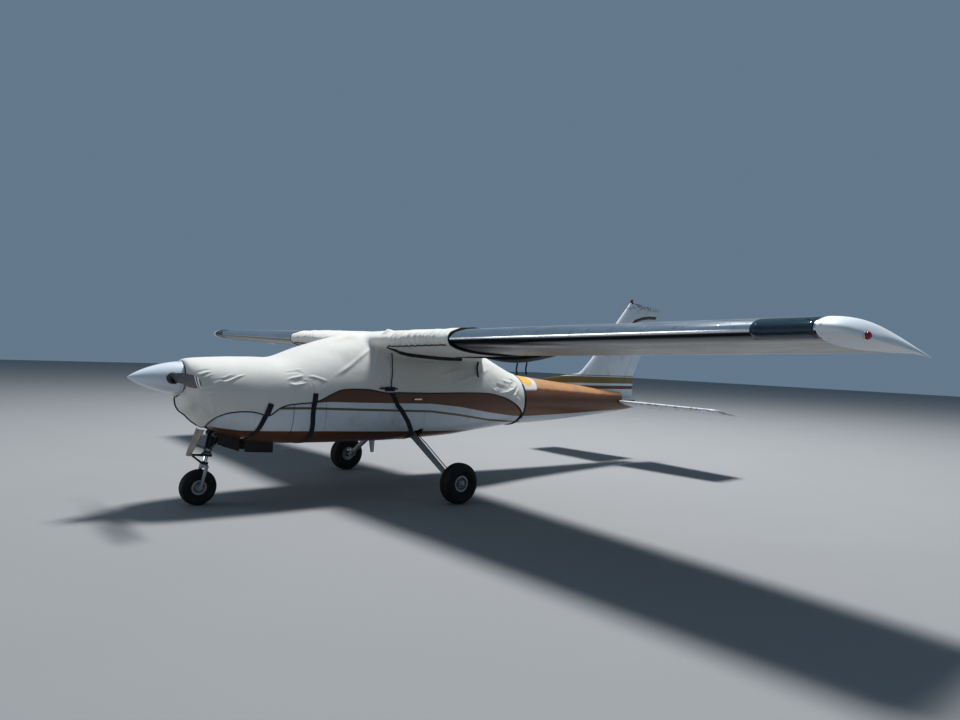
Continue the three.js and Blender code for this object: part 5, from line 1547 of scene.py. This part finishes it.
def coverHull(name, grow, bulge):
    cloth = finish["cloth"]
    rings = fuselageRings(stations(0.492, 5.0, 0.06), grow)
    for p in rings[0]:
        p.x -= 0.006 + grow * 0.3
    hull = loft(name, rings, cloth)
    reach = [-2.0, -1.5, -1.1, -0.7, -0.35, -0.001, 0.001, 0.35, 0.7, 1.1, 1.5, 2.0]
    cut(hull, loft("sleeves", [wholeSection(y, grow, 25) for y in reach], cloth), "UNION")
    if bulge:
        cut(hull, ellipsoid("chin", (at(0.545), 0, 1.085), (0.112, 0.31, 0.155), cloth), "UNION")
    return hull


def cutAt(obj, field):  # keeps the part where the field is positive, with a clean edge where it is nought
    b = bmesh.new()
    b.from_mesh(obj.data)
    b.verts.ensure_lookup_table()
    mark = b.verts.layers.float.new("mark")
    for v, f in zip(b.verts, field):
        v[mark] = f if abs(f) > 1e-6 else 1e-6
    share = {}
    for e in b.edges:
        f0, f1 = e.verts[0][mark], e.verts[1][mark]
        if f0 * f1 < 0:
            share[e] = f0 / (f0 - f1)
    made = bmesh.ops.bisect_edges(b, edges=list(share), cuts=1, edge_percents=share)
    fresh = [g for g in made["geom_split"] if isinstance(g, bmesh.types.BMVert)]
    for v in fresh:
        v[mark] = 0.0
    bmesh.ops.connect_verts(b, verts=fresh)
    bmesh.ops.delete(b, geom=[v for v in b.verts if v[mark] < -1e-9], context="VERTS")
    left = dict.fromkeys(b.verts)
    groups = []
    while left:  # the largest connected part stays
        stack, group = [left.popitem()[0]], []
        while stack:
            v = stack.pop()
            group.append(v)
            for e in v.link_edges:
                o = e.other_vert(v)
                if o in left:
                    del left[o]
                    stack.append(o)
        groups.append(group)
    groups.sort(key=len)
    for group in groups[:-1]:
        bmesh.ops.delete(b, geom=group, context="VERTS")
    b.verts.layers.float.remove(mark)
    b.to_mesh(obj.data)
    b.free()
    return obj


def borders(obj):  # chains of points along the open edges
    b = bmesh.new()
    b.from_mesh(obj.data)
    edges = dict.fromkeys(e for e in b.edges if len(e.link_faces) == 1)
    chains = []
    while edges:
        e = edges.popitem()[0]
        start, v = e.verts[0], e.verts[1]
        chain = [start.co.copy(), v.co.copy()]
        while v is not start:
            step = next((k for k in v.link_edges if k in edges), None)
            if step is None:
                break
            del edges[step]
            v = step.other_vert(v)
            chain.append(v.co.copy())
        chains.append(chain[:-1] if v is start else chain)
    b.free()
    return chains


def evened(chain, step, rounds=4):  # a closed chain, smoothed and with equal steps
    path = np.array([tuple(p) for p in chain])
    lengths = np.linalg.norm(np.roll(path, -1, 0) - path, axis=1)
    total = lengths.sum()
    where = np.concatenate([[0], np.cumsum(lengths)])
    wrapped = np.vstack([path, path[:1]])
    n = max(12, int(total / step))
    t = np.linspace(0, total, n, endpoint=False)
    out = np.stack([np.interp(t, where, wrapped[:, i]) for i in range(3)], 1)
    for k in range(rounds):
        out = 0.5 * out + 0.25 * (np.roll(out, 1, 0) + np.roll(out, -1, 0))
    return out, total


def wingField(p):  # for points: the share of the chord and the height above the mean line
    s, a, z = p[:, 0] + length / 2, np.abs(p[:, 1]), p[:, 2]
    share = (a - wing["rootY"]) / (wing["tipY"] - wing["rootY"])
    lead = wing["lead"] + wing["slope"] * a
    chord = wing["trail"] + wing["trailSlope"] * a - lead
    angle = np.radians(wing["angles"][0] + (wing["angles"][1] - wing["angles"][0]) * share)
    leadZ = wing["trailZ"] + wing["dihedral"] * a + chord * np.tan(angle)
    u = (s - lead) / chord
    return u, z - (leadZ - (s - lead) * np.tan(angle) + chord * 0.012)


def foldList():
    random.seed(7)
    out = list(folds)
    for s, z, a0, a1, count, reach, half, height in fans:
        for k in range(count):
            a = math.radians(a0 + (a1 - a0) * (k + random.uniform(0.1, 0.9)) / count)
            ends = []
            for r in (reach * random.uniform(0.10, 0.25), reach * random.uniform(0.55, 1.1)):
                ss = min(max(s + r * math.cos(a), 0.50), 4.80)
                ends.append((ss, min(z + r * math.sin(a), sectionAt(ss)[0] - 0.01)))
            out.append((ends, half * random.uniform(0.8, 1.4), height * random.uniform(0.5, 1.2)))
    return out


def foldLines():  # every fold on both sides: its points in space, half width and height
    out = []
    for sign, share in ((-1, 1.0), (1, 0.85)):
        for line, half, height in foldList():
            spots = np.array([(at(s), sign * skinY(s, z, 0.016), z) for s, z in line])
            out.append((spots, half, height * share))
    return out


def alongLine(p, line):  # for points: the distance from a line and the share of its length
    steps = np.linalg.norm(line[1:] - line[:-1], axis=1)
    best, share, done = np.full(len(p), 1e9), np.zeros(len(p)), 0.0
    for a, c, step in zip(line, line[1:], steps):
        u = np.clip(((p - a) @ (c - a)) / step ** 2, 0, 1)
        d = np.linalg.norm(p - a - u[:, None] * (c - a), axis=1)
        closer = d < best
        best[closer] = d[closer]
        share[closer] = (done + u[closer] * step) / steps.sum()
        done += step
    return best, share


def finer(obj, lines, reach, ruffled):  # splits the faces near the folds that are narrow enough to need it
    b = bmesh.new()
    b.from_mesh(obj.data)
    b.faces.ensure_lookup_table()
    middle = np.array([tuple(f.calc_center_median()) for f in b.faces])
    near = np.zeros(len(middle), bool)
    for line, half, _ in lines:
        near |= alongLine(middle, line)[0] < half * reach
    if ruffled:
        u = wingField(middle)[0]
        near |= (np.abs(middle[:, 1]) > 0.62) & (np.abs(middle[:, 1]) < 1.85) & (np.abs(u) < 0.13)
    edges = dict.fromkeys(e for f in b.faces if near[f.index] for e in f.edges)
    bmesh.ops.subdivide_edges(b, edges=list(edges), cuts=1, use_grid_fill=True)
    b.to_mesh(obj.data)
    b.free()


def foldMove(p, lines):  # how far the folds push each point out
    move = np.zeros(len(p))
    for line, half, height in lines:
        d, share = alongLine(p, line)
        near = d < half * 5
        k = d[near] / half
        taper = np.clip(np.minimum(share[near], 1 - share[near]) / 0.24 + 0.12, 0, 1)
        move[near] += height * taper * (np.exp(-k ** 1.5) * 1.15 - 0.40 * np.exp(-(k * 0.5) ** 2))
    return move


def looseMove(p):  # the broad slack of the cloth, its crumples and the gathers along the sleeves
    move = np.zeros(len(p))
    s, a = p[:, 0] + length / 2, np.abs(p[:, 1])
    for i, v in enumerate(p):
        q = Vector(v)
        fine = Vector((q.x * 5, q.y * 5, q.z * 8)) + Vector((3, 1, 7))
        move[i] = 0.006 * noise.noise(q * 2.1) + 0.0022 * noise.noise(fine)
        if 4.05 < s[i] < 4.82:
            move[i] -= 0.0045 * abs(noise.noise(q * 11)) * min(1.0, (s[i] - 4.05) * 8)
    u, above = wingField(p)
    ruffle = np.clip((a - 0.66) / 0.08, 0, 1) * np.clip(1 - np.abs(u - 0.015) / 0.10, 0, 1)
    wave = np.sin(a * 88 + 2.5 * np.sin(a * 13) + p[:, 0] * 14) + 0.6 * np.sin(a * 57 - p[:, 0] * 25 + 1.3)
    move += ruffle * 0.0055 * wave
    peak = np.clip(1 - np.hypot((s - 2.50) / 0.075, (p[:, 1] + 0.60) / 0.09), 0, 1) * (p[:, 2] > 1.76)
    move += 0.042 * peak
    loose = np.clip((a - 0.66) / 0.1, 0, 1) * (above > 0)
    return move + loose * 0.003 * np.sin(p[:, 0] * 31 + 3 * np.sin(a * 9))


def treeOf(obj):
    b = bmesh.new()
    b.from_mesh(obj.data)
    tree = BVHTree.FromBMesh(b)
    b.free()
    return tree


def holdOff(p, s, tree):  # keeps the points out of what the cover lies on and out of the spinner's way
    for i, v in enumerate(p):
        if s[i] > 4.9:
            continue
        hit, out = tree.find_nearest(v)[:2]
        if hit is not None and (Vector(v) - hit).dot(out) < 0:
            p[i] = hit
    r = np.hypot(p[:, 1], p[:, 2] - thrustZ)
    spin = (s < 0.56) & (r > 0.05) & (r < 0.19)
    p[spin, 0] = np.maximum(p[spin, 0], at(0.4905))
    p[:, 0] = np.maximum(p[:, 0], at(0.432))


# Positive where the cover has cloth: above the hem, inside its plan and round the spinner
def keepField(p):
    s = p[:, 0] + length / 2
    above, a = wingField(p)[1], np.abs(p[:, 1])
    keep = signedDistance(s, p[:, 2], cover["hem"])
    keep = np.minimum(keep, signedDistance(s, a, cover["plan"]))
    keep = np.where(s < 0.60, np.minimum(keep, np.hypot(p[:, 1], p[:, 2] - thrustZ) - cover["hole"]), keep)
    under = (above < 0) & (p[:, 2] < 1.70) & (s > 3.2) & (s < 4.3) & (a > 0.56)
    return np.where(under, np.minimum(keep, np.maximum(0.606 - a, 3.44 - s)), keep)


def makeSheet():
    sheet = coverHull("cover", cover["rest"], True)
    modify(sheet, "REMESH", mode="VOXEL", voxel_size=cover["voxel"])
    modify(sheet, "SMOOTH", factor=0.5, iterations=5)
    limit = coverHull("limit", cover["least"], False)
    lines = foldLines()
    finer(sheet, lines, 3.0, True)
    finer(sheet, [row for row in lines if row[1] < 0.0185 and abs(row[2]) > 0.0055], 2.2, False)
    modify(sheet, "SMOOTH", factor=0.5, iterations=3)

    p = pointData(sheet, "co")
    s = p[:, 0] + length / 2
    hem = signedDistance(s, p[:, 2], cover["hem"])
    tight = np.clip(hem / 0.07, 0.25, 1) * np.clip((4.83 - s) / 0.25, 0.2, 1)
    p = p + pointData(sheet, "normal") * ((foldMove(p, lines) + looseMove(p)) * tight)[:, None]

    holdOff(p, s, treeOf(limit))
    bpy.data.objects.remove(limit)
    place(sheet, p)
    cutAt(sheet, keepField(p))
    smooth(sheet)

    piping = []
    for chain in borders(sheet):
        path, total = evened(chain, 0.016)
        if total > 1.3:
            piping.append(tube("piping", path, cover["piping"], finish["piping"], 8, closed=True))
    piping.append(frontSeam(treeOf(sheet)))
    area = sum(f.area for f in sheet.data.polygons)
    print("cover", len(sheet.data.polygons), "faces,", round(area, 2), "square metres,", len(piping),
          "borders")
    return sheet, piping, area, treeOf(sheet)


def frontSeam(tree):  # the closing seam, from below the spinner round the chin and back to the nose leg
    middle = Vector((at(0.66), 0, 1.06))
    path = []
    for k in range(34):
        angle = math.radians(163 + 107 * k / 33)
        way = Vector((math.cos(angle), 0, math.sin(angle)))
        hit = tree.ray_cast(middle, way)[0]
        if hit is not None:
            path.append(hit + way * 0.004)
    return tube("seam", path, 0.0075, finish["piping"], 8)


def turnAt(s, z):  # the turn at which the skin is at that height, on the right-hand side
    top, bottom, _, mid, pTop, pBottom = sectionAt(s)
    p, rise = (pTop, top - mid) if z > mid else (pBottom, mid - bottom)
    share = min(1.0, abs(z - mid) / rise) ** (p / 2)
    return math.copysign(math.asin(share), z - mid)


def beltPath(side, grow, steps=26):  # from the left-hand end, under the belly, to the right-hand end
    turns = [turnAt(s, z) for s, z in side] + [-math.pi / 2]
    places = [s for s, _ in side] + [side[-1][0]]
    half = []
    for k in range(steps + 1):
        t = turns[0] + (turns[-1] - turns[0]) * k / steps
        s = float(np.interp(-t, [-v for v in turns], places))
        half.append((s, t))
    right = [fuselagePoint(s, t, grow) for s, t in half]
    left = [Vector((p.x, -p.y, p.z)) for p in right]
    return left + right[-2::-1]


straps = {
    "strap_front": [(1.194, 1.030), (1.154, 0.904), (1.107, 0.747), (1.080, 0.640)],
    "strap_middle": [(1.654, 1.135), (1.642, 0.954), (1.663, 0.766), (1.663, 0.640)],
    "strap_door": [(2.540, 1.200), (2.631, 1.079), (2.722, 0.958), (2.815, 0.841), (2.925, 0.705),
                   (2.955, 0.640)],
    "strap_aft": [(4.800, 0.842), (4.793, 0.780), (4.790, 0.730)],
}


def makeStraps():
    webbing = finish["webbing"]
    for name, side in straps.items():
        lift = 0.003 if name == "strap_aft" else 0.0035
        parts = [ribbon(name, beltPath(side, lift), 0.026, 0.0022, webbing)]
        if name in ("strap_front", "strap_middle"):
            (s0, z0), (s1, z1) = side[:2]
            up = (Vector((at(s0), 0, z0)) - Vector((at(s1), 0, z1))).normalized()
            for sign in (-1, 1):
                top = onSkin(s0, z0, sign)
                out = Vector((0, sign * 0.012, 0))
                tab = [top + up * (0.030 - 0.018 * k) - out * (k / 7) ** 2 for k in range(8)]
                parts.append(ribbon("tab", tab, 0.028, 0.004, webbing))
        dress(joined(name, parts), "airframe", "webbing", name)


# An upright band of changing height, smoothed between its spots
def band(name, spots, halves, thick, material):
    where = np.linspace(0, len(spots) - 1, len(spots) * 5)
    middle = [np.interp(where, range(len(spots)), [q[i] for q in spots]) for i in range(3)]
    half = np.interp(where, range(len(spots)), halves)
    rings = []
    for x, y, z, h in zip(*middle, half):
        out = math.copysign(thick / 2, y)
        corners = ((-out, -h), (out, -h), (out, h), (-out, h))
        rings.append([Vector((at(x), y + o, z + d)) for o, d in corners])
    return loft(name, rings, material, angle=40)


trimPaths = {  # (s, z) points on the side of the cover
    "hang": [(3.915, 1.548, 0.030), (3.875, 1.505, 0.034), (3.853, 1.464, 0.036), (3.847, 1.410, 0.036),
             (3.852, 1.360, 0.040)],
    # band: the path of the black strip that paints the shade where the sleeve meets the side
    "band": [(2.44, 1.700), (2.52, 1.680), (2.61, 1.655), (2.76, 1.633), (2.92, 1.621), (3.14, 1.605),
             (3.30, 1.592), (3.61, 1.583)],
    "shadeBandHalves": [0.010, 0.016, 0.022, 0.026, 0.026, 0.026, 0.024, 0.020], "shadeBandScale": 1.35,
    "seam": (0.70, 1.76), "lace": 4.812,
}


def buckle(sign):  # the bar by the door's middle, its pad and the cord up to the wing
    webbing = finish["webbing"]
    bar = [onSkin(2.405 + 0.028 * k, 1.218 + 0.004 * math.sin(k * 1.3), sign, 0.024) for k in range(9)]
    pad = [onSkin(2.470 + 0.024 * k, 1.212, sign, 0.028) for k in range(6)]
    cord = [onSkin(2.602 - 0.055 * k / 14, 1.628 - 0.408 * k / 14, sign,
                   0.021 + 0.003 * math.sin(k)) for k in range(15)]
    return [tube("bar", bar, 0.009, webbing, 12), ribbon("pad", pad, 0.022, 0.008, webbing),
            tube("cord", cord, 0.0052, webbing, 10)]


def sleeveSeam(sign, tree):  # along the sleeve's underside, on the finished cloth
    seam = []
    low, high = trimPaths["seam"]
    for k in range(41):
        y = low + (high - low) * k / 40
        start, end = (wingSkin(wingAt(y), y, 0.018, -1, grow) for grow in (0.08, 0.0))
        start.y, end.y = sign * start.y, sign * end.y
        way = (end - start).normalized()
        hit = tree.ray_cast(start, way)[0]
        seam.append((hit or end) - way * 0.006)
    seam = [(a + b * 2 + c) / 4 for a, b, c in zip(seam, seam[1:], seam[2:])]
    return tube("seam", seam, 0.0075, finish["piping"], 10)


def rootShadeBand(sign, tree):  # a black strip along the crease where the sleeve meets the side, as painted shade
    spots = []
    for s, z in trimPaths["band"]:
        way = Vector((0, -sign, 0.12)).normalized()
        hit = tree.ray_cast(Vector((at(s), sign * 0.78, z - 0.03)), way)[0]
        spots.append((s, hit.y + sign * 0.010, hit.z - 0.004))
    halves = [half * trimPaths["shadeBandScale"] for half in trimPaths["shadeBandHalves"]]
    return band("band", spots, halves, 0.008, finish["webbing"])


# The buckle bars, cords, hanging tabs, seams, painted-shade root bands and aft lacing of the cover
def makeCoverTrim(tree):
    parts = []
    for sign in (-1, 1):
        parts += buckle(sign)
        hang = [onSkin(s, z, sign, grow) for s, z, grow in trimPaths["hang"]]
        parts.append(ribbon("tab", halved(hang), 0.012, 0.003, finish["webbing"]))
        parts.append(sleeveSeam(sign, tree))
    parts += [rootShadeBand(sign, tree) for sign in (-1, 1)]
    lace = trimPaths["lace"]
    ring = [fuselagePoint(lace, 2 * math.pi * k / 72, 0.007) for k in range(72)]
    parts.append(tube("lace", ring, 0.0065, finish["piping"], 10, closed=True))
    tail = [fuselagePoint(lace, math.radians(180 + a), 0.013) for a in np.linspace(-35, 40, 16)]
    parts.append(ribbon("closing", tail, 0.017, 0.005, finish["webbing"]))
    return parts


def makeCover():
    sheet, piping, area, tree = makeSheet()
    trim = joined("coverTrim", piping + makeCoverTrim(tree))
    dress(trim, "airframe", "webbing")
    dress(sheet, "airframe", "cloth", "cover")


# Studio
studio = {
    "floor": 0.30, "world": (0.30, 0.43, 0.56), "glow": 0.44,
    "lights": [  # name, place, what it points at, size, power
        ("overhead", (5.9, 2.3, 24.0), (0.3, 0.0, 1.0), (4.4, 4.4), 7000),
        ("front", (-14.0, 6.0, 2.6), (0.0, 0.0, 1.4), (6.0, 4.0), 260),
    ],
}


def makeStudio():
    shade = Shade("paleFloor", 0.85)
    tone = studio["floor"]
    shade.set("Base Color", shade.mix(shade.noise(0.6, 2), (tone, tone, tone),
                                      (tone * 1.06, tone * 1.06, tone * 1.07)))
    floor = addObject("floor", [(-60, -60, 0), (60, -60, 0), (60, 60, 0), (-60, 60, 0)], [(0, 1, 2, 3)],
                      shade.material)
    for name, where, target, size, power in studio["lights"]:
        data = bpy.data.lights.new(name, "AREA")
        data.shape, data.size, data.size_y, data.energy = "RECTANGLE", size[0], size[1], power
        lamp = bpy.data.objects.new(name, data)
        lamp.location = where
        lamp.rotation_euler = (Vector(target) - Vector(where)).to_track_quat("-Z", "Y").to_euler()
        bpy.context.scene.collection.objects.link(lamp)
    world = bpy.data.worlds.new("studio")
    world.use_nodes = True
    world.node_tree.nodes["Background"].inputs["Color"].default_value = (*studio["world"], 1)
    world.node_tree.nodes["Background"].inputs["Strength"].default_value = studio["glow"]
    bpy.context.scene.world = world
    bpy.context.scene.view_settings.view_transform = "Standard"
    bpy.context.scene.view_settings.look = "Medium High Contrast"


makeCamera()
makeFuselage()
makeTail()
makeWings()
makePropeller()
makeGear()
makeCover()
makeStraps()
print("cover and straps made")
makeStudio()
